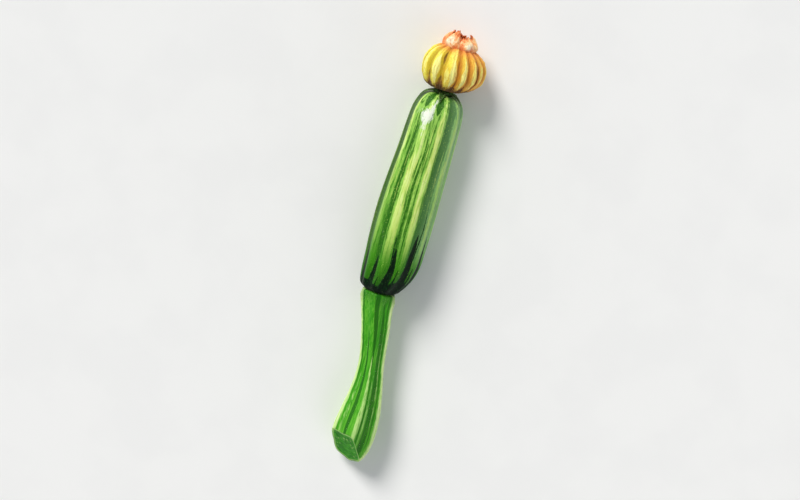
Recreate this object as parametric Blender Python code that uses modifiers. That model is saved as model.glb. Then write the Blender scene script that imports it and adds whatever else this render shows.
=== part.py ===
"""A picked courgette lying on its side: ridged fruit, five-angled stalk, calyx and closed, withered flower.

Every piece is modelled standing up, with the fruit's axis on its own Z axis and the fruit's stalk end at Z = 0.
The empty named courgette then lays them all down, so that the fruit's axis runs along the world's +Y, from
stalk to flower, and the fruit rests on a small flat spot at the world's Z = 0.
Standing up, +X is the side that stays level, and +Y is the side that ends up underneath.
"""

import math
import random

import bmesh
import bpy
from mathutils import Vector

MM = 0.001

# The fruit, which sets the scale of everything else. Its stalk end is pulled over to one side by POLE_SHIFT.
FRUIT_LENGTH = 150 * MM
FRUIT_RADIUS = 21 * MM
FLAT_DEPTH = 1.0 * MM
AXIS_HEIGHT = FRUIT_RADIUS - FLAT_DEPTH
FRUIT_RIDGES = 10
RIDGE_TURN = math.radians(19.5)
RIDGE_DEPTH = 0.05
RIDGE_DEPTH_AT_STALK = 0.09
POLE_SHIFT = -4 * MM
POLE_REACH = 26 * MM
GAP = 0.35 * MM

# The outline, as shares of the fruit's radius and length, from the flower end to the stalk end.
# It ends in a shallow dimple, where the stalk is let into the fruit.
FRUIT_OUTLINE = [
    (0.0, 1.0),
    (0.32, 1.0),
    (0.5, 0.995),
    (0.66, 0.98),
    (0.785, 0.95),
    (0.865, 0.9),
    (0.9, 0.81),
    (0.92, 0.71),
    (0.955, 0.6),
    (0.985, 0.48),
    (1.0, 0.37),
    (0.99, 0.26),
    (0.95, 0.165),
    (0.885, 0.1),
    (0.79, 0.052),
    (0.69, 0.02),
    (0.6, 0.004),
    (0.53, 0.0),
    (0.508, 0.005),
    (0.5, 0.02),
    (0.0, 0.021),
]
DIMPLE_RADIUS = 0.5 * FRUIT_RADIUS
DIMPLE_FLOOR = 0.021 * FRUIT_LENGTH
# How far its centre line strays to +X, at distances from the stalk end; the flower grows from its last point.
FRUIT_LINE = [
    (0.0, 0.0),
    (-0.7 * MM, 35 * MM),
    (-0.7 * MM, 70 * MM),
    (0.5 * MM, 110 * MM),
    (1.4 * MM, FRUIT_LENGTH),
]
FLOWER_X = FRUIT_LINE[-1][0]

# The stalk, cut off where it grew from the plant.
STALK_LENGTH = 132 * MM
STALK_RIBS = 5
STALK_RIB_DEPTH = 0.2
STALK_DROOP = 2.0 * MM
COLLAR_LENGTH = 6 * MM
# Its radius at distances below the fruit: a collar, a waist, and the swollen foot.
STALK_OUTLINE = [
    (12.0 * MM, 1.6 * MM),
    (12.0 * MM, 5 * MM),
    (10.8 * MM, 14 * MM),
    (9.4 * MM, 34 * MM),
    (8.8 * MM, 52 * MM),
    (9.8 * MM, 65 * MM),
    (11.6 * MM, 78 * MM),
    (13.4 * MM, 90 * MM),
    (14.6 * MM, 103 * MM),
    (14.6 * MM, 114 * MM),
    (13.2 * MM, 122 * MM),
    (10.4 * MM, 128 * MM),
    (5.5 * MM, STALK_LENGTH),
    (0.0, STALK_LENGTH + 1 * MM),
]
# How far its centre line lies to +X of the fruit's axis, at distances below the fruit.
STALK_LINE = [
    (POLE_SHIFT, 0.0),
    (-2.6 * MM, 11 * MM),
    (0.6 * MM, 26 * MM),
    (4.0 * MM, 46 * MM),
    (6.5 * MM, 66 * MM),
    (7.3 * MM, 84 * MM),
    (6.7 * MM, 103 * MM),
    (4.9 * MM, STALK_LENGTH),
]
# The knife's cut across the foot: a point on it, from the foot's centre line, and the way it faces.
CUT_POINT = (-2 * MM, 0.0, -121 * MM)
CUT_FACING = (-0.45, -0.62, -0.64)

# The calyx: a short ring on the flower end, with narrow pointed sepals.
RING_RADIUS = 7.4 * MM
RING_HEIGHT = 2.4 * MM
SEPALS = 5
SEPAL_WIDTH = 5.4 * MM
SEPAL_THICKNESS = 0.9 * MM
FIRST_SEPAL_ANGLE = math.radians(-24)
# A sepal's way out over the fruit's shoulder: distance from the axis, and height above the fruit's end.
SEPAL_LINE = [
    (4.7 * MM, 1.7 * MM),
    (8.0 * MM, 1.6 * MM),
    (11.0 * MM, 0.7 * MM),
    (13.6 * MM, -0.9 * MM),
    (16.0 * MM, -3.6 * MM),
    (17.7 * MM, -7.6 * MM),
]

# The flower: a pleated bulb, drawn in to a neck, with the petals' free tips crumpled above it.
BULB_RADIUS = 22.3 * MM
BULB_BASE = FRUIT_LENGTH + GAP + RING_HEIGHT + GAP
BULB_SHIFT = 2.0 * MM
BULB_LIFT = 0.9 * MM
BULB_UNDERSIDE = AXIS_HEIGHT - 0.4 * MM
PLEATS = 15
PLEAT_DEPTH = 0.095
BULB_TWIST = 0.1
# The pleats are of uneven width: how far each is turned from its even place, at angles round the axis.
PLEAT_SHIFTS = [
    (math.radians(-4), math.radians(-180)),
    (math.radians(-5), math.radians(-156)),
    (math.radians(-2), math.radians(-132)),
    (math.radians(0.5), math.radians(-108)),
    (math.radians(9), math.radians(-84)),
    (math.radians(6), math.radians(-60)),
    (math.radians(6), math.radians(-36)),
    (math.radians(4), math.radians(24)),
    (math.radians(0), math.radians(108)),
    (math.radians(-2), math.radians(156)),
    (math.radians(-4), math.radians(180)),
]
# The bulb's radius, as shares of BULB_RADIUS, and its height above BULB_BASE, from the neck down.
BULB_OUTLINE = [
    (0.0, 37.5 * MM),
    (0.08, 37.6 * MM),
    (0.16, 36.9 * MM),
    (0.24, 35.4 * MM),
    (0.31, 33.8 * MM),
    (0.4, 32.5 * MM),
    (0.54, 31.1 * MM),
    (0.73, 28.4 * MM),
    (0.89, 24.5 * MM),
    (0.98, 20 * MM),
    (1.0, 15.5 * MM),
    (0.97, 11.5 * MM),
    (0.89, 7.6 * MM),
    (0.77, 4.2 * MM),
    (0.62, 1.8 * MM),
    (0.45, 0.5 * MM),
    (0.25, 0.1 * MM),
    (0.0, 0.0),
]
NECK_HEIGHT = 32 * MM
PETALS = 5
# The free tips start inside the neck; the one on the left stands highest.
TIP_HEIGHTS = [11.5 * MM, 12.5 * MM, 12 * MM, 13.5 * MM, 14.5 * MM]
FIRST_TIP_ANGLE = math.radians(-54)
TIP_BASE = BULB_BASE + 29 * MM
TIP_RADIUS = 9.0 * MM
TIP_HALF_ANGLE = math.radians(46)
TIP_THICKNESS = 0.9 * MM
TIP_PUFF = 3.0 * MM
TIP_TUCK = 1.8 * MM
TIP_CURL = 3.4 * MM
TIP_RUFFLE = 0.8 * MM

# How finely the pieces are divided.
FRUIT_SIDES = 60
STALK_SIDES = 50
RING_SIDES = 40
BULB_SIDES = 75
TIP_COLUMNS, TIP_ROWS = 14, 6
SEPAL_COLUMNS, SEPAL_ROWS = 4, 8
WELD = 0.01 * MM


def clear_scene():
    """Removes what the startup scene holds."""
    for thing in list(bpy.data.objects):
        bpy.data.objects.remove(thing)


def principled(name, colour, roughness):
    """A plain, non-metallic material."""
    material = bpy.data.materials.new(name)
    material.use_nodes = True
    shader = material.node_tree.nodes["Principled BSDF"]
    shader.inputs["Base Color"].default_value = (*colour, 1.0)
    shader.inputs["Roughness"].default_value = roughness
    shader.inputs["Metallic"].default_value = 0.0
    return material


def smooth_line(points, steps=2):
    """A Catmull-Rom line through the given points, with so many steps from each point to the next."""
    ends = [2 * Vector(points[0]) - Vector(points[1]), 2 * Vector(points[-1]) - Vector(points[-2])]
    knots = [ends[0], *map(Vector, points), ends[1]]
    line = []
    for a, b, c, d in zip(knots, knots[1:], knots[2:], knots[3:]):
        for step in range(steps):
            t = step / steps
            curved = (2 * a - 5 * b + 4 * c - d) * t**2 + (3 * b - a - 3 * c + d) * t**3
            line.append(0.5 * (2 * b + (c - a) * t + curved))
    line.append(knots[-2])
    return line


def point_along(line, share):
    """The point at a share, from 0 to 1, of a list of points."""
    place = share * (len(line) - 1)
    first = min(int(place), len(line) - 2)
    return line[first].lerp(line[first + 1], place - first)


def slope_at(table, row):
    """How fast the value changes at a row of a table of (value, distance) rows."""
    before, after = table[max(row - 1, 0)], table[min(row + 1, len(table) - 1)]
    return (after[0] - before[0]) / (after[1] - before[1])


def value_along(table, distance):
    """A value read from a table of (value, distance) rows, along one smooth line through them."""
    for row, ((low, start), (high, end)) in enumerate(zip(table, table[1:])):
        if distance <= end:
            span = end - start
            t = max(0.0, (distance - start) / span)
            leaving, arriving = slope_at(table, row) * span, slope_at(table, row + 1) * span
            return (
                low * (2 * t**3 - 3 * t**2 + 1)
                + leaving * (t**3 - 2 * t**2 + t)
                + high * (3 * t**2 - 2 * t**3)
                + arriving * (t**3 - t**2)
            )
    return table[-1][0]


def evaluated_mesh(piece):
    """A new mesh with the object's modifiers applied, and the object itself removed."""
    graph = bpy.context.evaluated_depsgraph_get()
    mesh = bpy.data.meshes.new_from_object(piece.evaluated_get(graph))
    bpy.data.objects.remove(piece)
    return mesh


def turned_mesh(outline, sides):
    """The mesh made by turning an outline of (radius, height) points, top to bottom, round the Z axis."""
    profile = bpy.data.meshes.new("profile")
    points = [(radius, 0.0, height) for radius, height in outline]
    profile.from_pydata(points, [(i, i + 1) for i in range(len(points) - 1)], [])
    lathe = bpy.data.objects.new("lathe", profile)
    bpy.context.scene.collection.objects.link(lathe)
    screw = lathe.modifiers.new("turn", "SCREW")
    screw.steps = screw.render_steps = sides
    screw.use_merge_vertices = True
    screw.merge_threshold = WELD
    return evaluated_mesh(lathe)


def reshape(mesh, rule):
    """Moves every vertex to where rule(radius, angle, height) puts it."""
    for vertex in mesh.vertices:
        x, y, height = vertex.co
        vertex.co = rule(math.hypot(x, y), math.atan2(y, x), height)
    mesh.update()


def add_piece(name, mesh, material, collection, stand):
    """Links a mesh as a named, smoothly shaded piece that hangs from the stand."""
    piece = bpy.data.objects.new(name, mesh)
    mesh.materials.clear()
    mesh.materials.append(material)
    mesh.shade_smooth()
    mesh.set_sharp_from_angle(angle=math.radians(50))
    collection.objects.link(piece)
    piece.parent = stand
    return piece


def union(base_mesh, others):
    """The mesh of one solid with others, which are objects, joined to it by one Boolean."""
    base = bpy.data.objects.new("base", base_mesh)
    bpy.context.scene.collection.objects.link(base)
    gathered = bpy.data.collections.new("to_join")
    for other in others:
        gathered.objects.link(other)
    join = base.modifiers.new("join", "BOOLEAN")
    join.operation = "UNION"
    join.operand_type = "COLLECTION"
    join.collection = gathered
    mesh = evaluated_mesh(base)
    for other in others:
        bpy.data.objects.remove(other)
    bpy.data.collections.remove(gathered)
    return mesh


def make_blade(columns, rows, thickness, place):
    """A thin closed blade, as an object, on the surface that place(across, up) gives.

    Across runs from -1 to 1 and up runs from 0 to 1.
    """
    work = bmesh.new()
    bmesh.ops.create_grid(work, x_segments=columns, y_segments=rows, size=1.0)
    for vertex in work.verts:
        vertex.co = place(vertex.co.x, (vertex.co.y + 1) / 2)
    bmesh.ops.recalc_face_normals(work, faces=work.faces[:])
    mesh = bpy.data.meshes.new("blade")
    work.to_mesh(mesh)
    work.free()
    sheet = bpy.data.objects.new("sheet", mesh)
    bpy.context.scene.collection.objects.link(sheet)
    sheet.modifiers.new("alike", "TRIANGULATE")
    wall = sheet.modifiers.new("wall", "SOLIDIFY")
    wall.thickness = thickness
    wall.offset = 0.0
    return bpy.data.objects.new("blade", evaluated_mesh(sheet))


def wave(angle, count):
    """A wave of count crests round the axis, from 0 in a furrow to 1 on a crest."""
    return 0.5 + 0.5 * math.cos(count * angle)


def fruit_rule(radius, angle, height):
    """The fruit's ridges, which fade out underneath, its wandering centre line and the flat spot it rests on."""
    along = height / FRUIT_LENGTH
    depth = RIDGE_DEPTH + (RIDGE_DEPTH_AT_STALK - RIDGE_DEPTH) * (1 - min(along / 0.3, 1.0)) ** 2
    beyond_dimple = min(1.0, max(0.0, radius / DIMPLE_RADIUS - 1.05) * 4)
    above_floor = min(1.0, max(0.0, 1.9 - 2 * math.sin(angle)))
    crest = wave(angle + math.pi / 2 - RIDGE_TURN, FRUIT_RIDGES) ** 1.4
    radius *= 1 + depth * beyond_dimple * above_floor * (crest - 0.45)
    to_pole = max(0.0, 1 - max(0.0, height - DIMPLE_FLOOR) / POLE_REACH) ** 2
    x = radius * math.cos(angle) + value_along(FRUIT_LINE, height) + POLE_SHIFT * to_pole
    return Vector((x, min(radius * math.sin(angle), AXIS_HEIGHT), height))


def make_fruit():
    """The fruit's mesh."""
    outline = [(r * FRUIT_RADIUS, h * FRUIT_LENGTH) for r, h in FRUIT_OUTLINE]
    mesh = turned_mesh(smooth_line(outline), FRUIT_SIDES)
    reshape(mesh, fruit_rule)
    return mesh


def stalk_rule(radius, angle, height):
    """The stalk's ribs, which start below the fruit, and its bends to the side and down."""
    below = max(0.0, -height)
    ribs = min(1.0, below / COLLAR_LENGTH)
    crest = wave(angle + math.pi / 2, STALK_RIBS) ** 1.3
    radius *= 1 + ribs * STALK_RIB_DEPTH * (crest - 0.45)
    x = radius * math.cos(angle) + value_along(STALK_LINE, below)
    y = radius * math.sin(angle) + STALK_DROOP * (below / STALK_LENGTH) ** 2
    return Vector((x, y, height))


def cut_off(mesh, point, facing):
    """Cuts away what lies beyond a plane, and closes the mesh with a flat face."""
    work = bmesh.new()
    work.from_mesh(mesh)
    everything = work.verts[:] + work.edges[:] + work.faces[:]
    cut = bmesh.ops.bisect_plane(work, geom=everything, plane_co=point, plane_no=facing, clear_outer=True, dist=WELD)
    edges = [item for item in cut["geom_cut"] if isinstance(item, bmesh.types.BMEdge)]
    bmesh.ops.contextual_create(work, geom=edges)
    bmesh.ops.dissolve_degenerate(work, edges=work.edges[:], dist=5 * WELD)
    bmesh.ops.recalc_face_normals(work, faces=work.faces[:])
    work.to_mesh(mesh)
    work.free()


def make_stalk():
    """The stalk's mesh: its plug in the fruit's dimple, its collar, waist and foot, and the cut end."""
    top = DIMPLE_FLOOR - GAP
    plug = DIMPLE_RADIUS - 1.2 * MM
    head = [(0.0, top), (0.6 * plug, top), (plug, top - 0.6 * MM), (plug, 0.2 * MM), (1.12 * plug, -0.7 * MM)]
    outline = head + [(radius, -below) for radius, below in STALK_OUTLINE]
    mesh = turned_mesh(smooth_line(outline), STALK_SIDES)
    reshape(mesh, stalk_rule)
    foot_x = value_along(STALK_LINE, -CUT_POINT[2])
    cut_off(mesh, (CUT_POINT[0] + foot_x, CUT_POINT[1], CUT_POINT[2]), CUT_FACING)
    return mesh


def make_sepal(angle, reach):
    """One sepal: a narrow, channelled, pointed blade that leaves the ring and bends over the fruit's shoulder."""
    line = smooth_line(SEPAL_LINE)

    def place(across, up):
        side = across * SEPAL_WIDTH / 2 * (0.8 + 0.5 * up) * (1 - 0.88 * up**1.6)
        out, over = point_along(line, up * reach)
        channel = 0.5 * MM * (1 - across**2) * (1 - up)
        x = out * math.cos(angle) - side * math.sin(angle) + FLOWER_X
        y = out * math.sin(angle) + side * math.cos(angle)
        return Vector((x, y, FRUIT_LENGTH + over - channel))

    return make_blade(SEPAL_COLUMNS, SEPAL_ROWS, SEPAL_THICKNESS, place)


def ring_rule(radius, angle, height):
    """The ring's five faint lobes, round the point that the flower grows from."""
    radius *= 1 + 0.04 * (wave(angle - FIRST_SEPAL_ANGLE, SEPALS) - 0.5)
    return Vector((radius * math.cos(angle) + FLOWER_X, radius * math.sin(angle), height))


def make_calyx():
    """The calyx's mesh: the ring and its sepals in one solid."""
    base = FRUIT_LENGTH + GAP
    ring = [
        (0.0, base + RING_HEIGHT),
        (0.8 * RING_RADIUS, base + RING_HEIGHT),
        (0.97 * RING_RADIUS, base + 0.75 * RING_HEIGHT),
        (RING_RADIUS, base + 0.35 * RING_HEIGHT),
        (0.9 * RING_RADIUS, base),
        (0.0, base),
    ]
    ring_mesh = turned_mesh(ring, RING_SIDES)
    reshape(ring_mesh, ring_rule)
    draw = random.Random(4)
    sepals = []
    for number in range(SEPALS):
        angle = FIRST_SEPAL_ANGLE + 2 * math.pi * number / SEPALS + draw.uniform(-0.12, 0.12)
        sepals.append(make_sepal(angle, draw.uniform(0.82, 1.0)))
    return union(ring_mesh, sepals)


def pressed(y):
    """A height under the flower's axis, softly limited by the surface that the flower lies on."""
    free = 0.72 * BULB_UNDERSIDE
    if y <= free:
        return y
    room = BULB_UNDERSIDE - free
    return free + room * math.tanh((y - free) / room)


def bulb_rule(radius, angle, height):
    """The bulb's pleats, deeper towards the neck, their slight twist, its lean and its pressed underside."""
    along = (height - BULB_BASE) / NECK_HEIGHT
    uneven = 1 + 0.25 * math.sin(3 * angle + 1) + 0.2 * math.sin(7 * angle + 2)
    depth = PLEAT_DEPTH * uneven * (0.75 + 0.7 * min(along, 1.1) ** 2)
    radius *= 1 + depth * (wave(angle, PLEATS) - 0.5) + 0.03 * (wave(angle, PETALS) - 0.5)
    turned = angle + value_along(PLEAT_SHIFTS, angle) - BULB_TWIST * along
    moved = min(1.0, along * 3)
    x = radius * math.cos(turned) + FLOWER_X + BULB_SHIFT * moved
    y = radius * math.sin(turned) - BULB_LIFT * moved
    return Vector((x, pressed(y), height))


def make_tip(number, phase):
    """One petal's free tip: a blade that leaves the neck, puffs out, is tucked in at its sides and curls in above."""
    middle = FIRST_TIP_ANGLE + 2 * math.pi * number / PETALS
    height = TIP_HEIGHTS[number]
    start = TIP_RADIUS + (number % 2) * 0.5 * MM

    def place(across, up):
        angle = middle + across * TIP_HALF_ANGLE * (1 - 0.15 * up)
        puff = TIP_PUFF * math.sin(math.pi * min(1.0, 1.1 * up)) - TIP_CURL * up**3
        tuck = TIP_TUCK * (math.cos(math.pi / 2 * across) - 0.6)
        ruffle = TIP_RUFFLE * up * math.sin(2.5 * math.pi * across + phase)
        out = start + puff + tuck + ruffle
        rise = height * up * (1 - 0.4 * across**2) + TIP_RUFFLE * up * math.sin(6 * across + 2 * phase)
        y = out * math.sin(angle) - BULB_LIFT
        return Vector((out * math.cos(angle) + FLOWER_X + BULB_SHIFT, pressed(y), TIP_BASE + rise))

    return make_blade(TIP_COLUMNS, TIP_ROWS, TIP_THICKNESS, place)


def make_corolla():
    """The flower's mesh: the pleated bulb and the petals' tips in one solid."""
    outline = [(share * BULB_RADIUS, BULB_BASE + up) for share, up in BULB_OUTLINE]
    bulb = turned_mesh(smooth_line(outline), BULB_SIDES)
    reshape(bulb, bulb_rule)
    draw = random.Random(11)
    return union(bulb, [make_tip(number, draw.uniform(0, 2 * math.pi)) for number in range(PETALS)])


def centre_over_origin(stand, pieces):
    """Moves the stand so that the pieces' bounding box is centred over the origin."""
    bpy.context.view_layer.update()
    corners = [piece.matrix_world @ Vector(corner) for piece in pieces for corner in piece.bound_box]
    for axis in (0, 1):
        values = [corner[axis] for corner in corners]
        stand.location[axis] -= (min(values) + max(values)) / 2


def main():
    clear_scene()
    collection = bpy.data.collections.new("courgette")
    bpy.context.scene.collection.children.link(collection)
    stand = bpy.data.objects.new("courgette", None)
    collection.objects.link(stand)
    stand.location = (0.0, 0.0, AXIS_HEIGHT)
    stand.rotation_euler = (-math.pi / 2, 0.0, 0.0)
    pieces = [
        add_piece("fruit", make_fruit(), principled("skin", (0.11, 0.27, 0.05), 0.35), collection, stand),
        add_piece("stalk", make_stalk(), principled("stalk", (0.16, 0.4, 0.06), 0.55), collection, stand),
        add_piece("calyx", make_calyx(), principled("calyx", (0.05, 0.14, 0.03), 0.6), collection, stand),
        add_piece("corolla", make_corolla(), principled("petal", (0.85, 0.52, 0.08), 0.6), collection, stand),
    ]
    centre_over_origin(stand, pieces)


main()
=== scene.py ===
"""A picked courgette on a pale surface: striped skin, angled stalk, calyx and closed, withering flower.

Each form is worked out standing up, with the fruit's axis on Z, its stalk end at Z = 0, and +Y as the side
that ends up underneath. It is then laid down along +Y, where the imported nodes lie.
"""
import logging
import math
import random
from collections.abc import Sequence
from dataclasses import dataclass
from enum import Enum
from typing import Any

import bmesh
import bpy
import numpy as np
from mathutils import Matrix, Vector, noise


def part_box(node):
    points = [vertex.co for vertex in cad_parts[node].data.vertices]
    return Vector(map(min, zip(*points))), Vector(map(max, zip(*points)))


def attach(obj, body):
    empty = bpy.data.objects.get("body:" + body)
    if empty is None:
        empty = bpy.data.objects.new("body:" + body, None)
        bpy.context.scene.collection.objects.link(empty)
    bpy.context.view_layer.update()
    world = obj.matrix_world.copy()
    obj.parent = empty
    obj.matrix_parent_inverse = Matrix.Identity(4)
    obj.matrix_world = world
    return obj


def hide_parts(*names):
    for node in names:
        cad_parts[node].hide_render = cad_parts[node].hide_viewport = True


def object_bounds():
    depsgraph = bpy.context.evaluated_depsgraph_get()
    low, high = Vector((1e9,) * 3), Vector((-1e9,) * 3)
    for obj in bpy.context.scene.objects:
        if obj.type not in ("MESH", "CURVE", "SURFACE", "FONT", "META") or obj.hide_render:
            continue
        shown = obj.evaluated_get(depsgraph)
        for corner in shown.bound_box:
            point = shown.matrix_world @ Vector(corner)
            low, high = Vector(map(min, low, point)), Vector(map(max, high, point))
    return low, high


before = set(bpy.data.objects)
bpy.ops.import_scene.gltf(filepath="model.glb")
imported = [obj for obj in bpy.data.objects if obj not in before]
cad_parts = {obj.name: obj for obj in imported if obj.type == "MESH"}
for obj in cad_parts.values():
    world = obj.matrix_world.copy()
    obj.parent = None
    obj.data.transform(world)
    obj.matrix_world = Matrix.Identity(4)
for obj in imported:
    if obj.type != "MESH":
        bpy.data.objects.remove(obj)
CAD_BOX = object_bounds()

log = logging.getLogger("courgette")
Array = np.ndarray
Colour = tuple[float, float, float, float]
Rows = tuple[tuple[float, float], ...]
MM = 0.001

# What a ridge's crest comes to on average, which is taken off so that ridges don't thicken a body.
MEAN_CREST = 0.45


class Slot(Enum):
    """The record's material slots."""

    SKIN = "skin"
    STALK = "stalk"
    CALYX = "calyx"
    PETAL = "petal"


class Mark(Enum):
    """Numbers kept on a piece's points, which its finish reads.

    ALONG runs from 0, at the end nearest to where stalk and fruit meet, to 1 at the far end, and on a hair
    from its root to its point.
    """

    CREST = "crest"  # 1 on a fold's or a midrib's crest, 0 in a furrow
    PLACE = "place"  # the bulb's pleats, counted round the axis, or the place across a tip, from -1 to 1
    ALONG = "along"
    SIDE = "side"  # -1 on the left, 1 on the right
    # on the flower, a painted highlight
    PALE = "pale"  # how solid a pale streak is
    DARK = "dark"  # how solid a dark streak is
    TOOTH = "tooth"  # how solid a black tooth is
    # a highlight painted into the skin's colour on the shoulder
    PAINTED_HIGHLIGHT = "frost"  # how solid the pale, shining patch on the shoulder is
    CUT = "cut"  # 1 on the cut face
    CORE = "core"  # 0 at the cut's edge, 1 at its middle
    EDGE = "edge"  # 1 at a petal's or sepal's free edge


def tint(code: str) -> Colour:
    """A screen colour as the shader's linear colour.

    Args:
        code: six hexadecimal digits.

    Returns:
        Red, green, blue and 1.
    """
    parts = (int(code[i : i + 2], 16) / 255 for i in (0, 2, 4))
    red, green, blue = (p / 12.92 if p <= 0.04045 else ((p + 0.055) / 1.055) ** 2.4 for p in parts)
    return (red, green, blue, 1.0)


def wave(angle: Array, count: int) -> Array:
    """A wave of count crests round the axis, from 0 in a furrow to 1 on a crest."""
    return 0.5 + 0.5 * np.cos(count * angle)


def ease(value: Array, low: float, high: float) -> Array:
    """0 up to low, 1 from high on, and a smooth rise between them."""
    share = np.clip((value - low) / (high - low), 0.0, 1.0)
    return share * share * (3 - 2 * share)


@dataclass(frozen=True)
class Swellings:
    """Smooth, random unevenness.

    Attributes:
        size: how long a swelling is along X, Y and Z, in millimetres.
        seed: which pattern it follows.
        height: how far it goes either way.
    """

    size: tuple[float, float, float]
    seed: float = 0.0
    height: float = 1.0

    def at(self, points: Array, shift: float = 0.0) -> Array:
        """The unevenness at some points of a standing form.

        Args:
            points: positions, with X, Y and Z in the last axis.
            shift: what to add to the seed.

        Returns:
            One number for each position.
        """
        scaled = points.reshape(-1, 3) / (np.array(self.size) * MM) + (self.seed + shift)
        chance = np.array([noise.noise(Vector(p)) for p in scaled])
        return self.height * chance.reshape(points.shape[:-1])


def smooth_line(points: Sequence[tuple[float, float]], steps: int) -> Array:
    """A Catmull-Rom line through the given points.

    Args:
        points: the points to go through.
        steps: how many steps to take from each point to the next.

    Returns:
        The line's points, one in each row.
    """
    given = np.array(points)
    knots = np.vstack([2 * given[0] - given[1], given, 2 * given[-1] - given[-2]])
    t = (np.arange(steps) / steps)[:, None]
    runs = []
    for a, b, c, d in zip(knots, knots[1:], knots[2:], knots[3:]):
        curved = (2 * a - 5 * b + 4 * c - d) * t**2 + (3 * b - a - 3 * c + d) * t**3
        runs.append(0.5 * (2 * b + (c - a) * t + curved))
    return np.vstack([*runs, given[-1:]])


@dataclass(frozen=True)
class Table:
    """Values at distances, joined by one smooth line.

    Attributes:
        rows: each row's value and its distance.
    """

    rows: Rows

    def at(self, distance: Array | float) -> Array:
        """The values at some distances.

        Args:
            distance: the distances; past either end the end's value holds.

        Returns:
            One value for each distance.
        """
        values, places = np.array(self.rows).T
        count = len(places)
        before, after = np.maximum(np.arange(count) - 1, 0), np.minimum(np.arange(count) + 1, count - 1)
        slopes = (values[after] - values[before]) / (places[after] - places[before])
        where = np.clip(np.asarray(distance, float), places[0], places[-1])
        row = np.clip(np.searchsorted(places, where, side="left") - 1, 0, count - 2)
        span = places[row + 1] - places[row]
        t = (where - places[row]) / span
        return (
            values[row] * (2 * t**3 - 3 * t**2 + 1)
            + slopes[row] * span * (t**3 - 2 * t**2 + t)
            + values[row + 1] * (3 * t**2 - 2 * t**3)
            + slopes[row + 1] * span * (t**3 - t**2)
        )


@dataclass(frozen=True)
class Streak:
    """A streak of colour along a ridged body.

    Attributes:
        place: the ridge that it follows, counted from the one nearest the top; halves are furrows.
        width: half its width, in ridges.
        solid: how solid it is, from 0 to 1; its finish breaks up what is less than solid.
        low: where it starts along the body.
        high: where it ends.
        taper: over what share of the body it narrows to a point at either end.
    """

    place: float
    width: float
    solid: float = 1.0
    low: float = -1.0
    high: float = 2.0
    taper: float = 0.2

    def cover(self, place: Array, along: Array, ridges: int) -> Array:
        """How solid the streak is at some points of the body.

        Args:
            place: where they are round the body, in ridges.
            along: where they are along it.
            ridges: how many ridges go round it.

        Returns:
            A number from 0 to 1 for each point.
        """
        away = np.abs((place - self.place + ridges / 2) % ridges - ridges / 2)
        ends = np.minimum(along - self.low, self.high - along) / self.taper
        width = self.width * np.clip(ends, 0.0, 1.0) ** 0.7 + 1e-6
        return self.solid * ease(1 - away / width, -0.15, 0.5) * (ends > 0)


def covered(several: Sequence[Streak], place: Array, along: Array, ridges: int) -> Array:
    """How solid the most solid of several streaks is at each place."""
    return np.max([streak.cover(place, along, ridges) for streak in several], axis=0)


def streaks(*rows: tuple[float, ...]) -> tuple[Streak, ...]:
    """Several streaks, each from a row of its values."""
    return tuple(Streak(*row) for row in rows)


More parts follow.
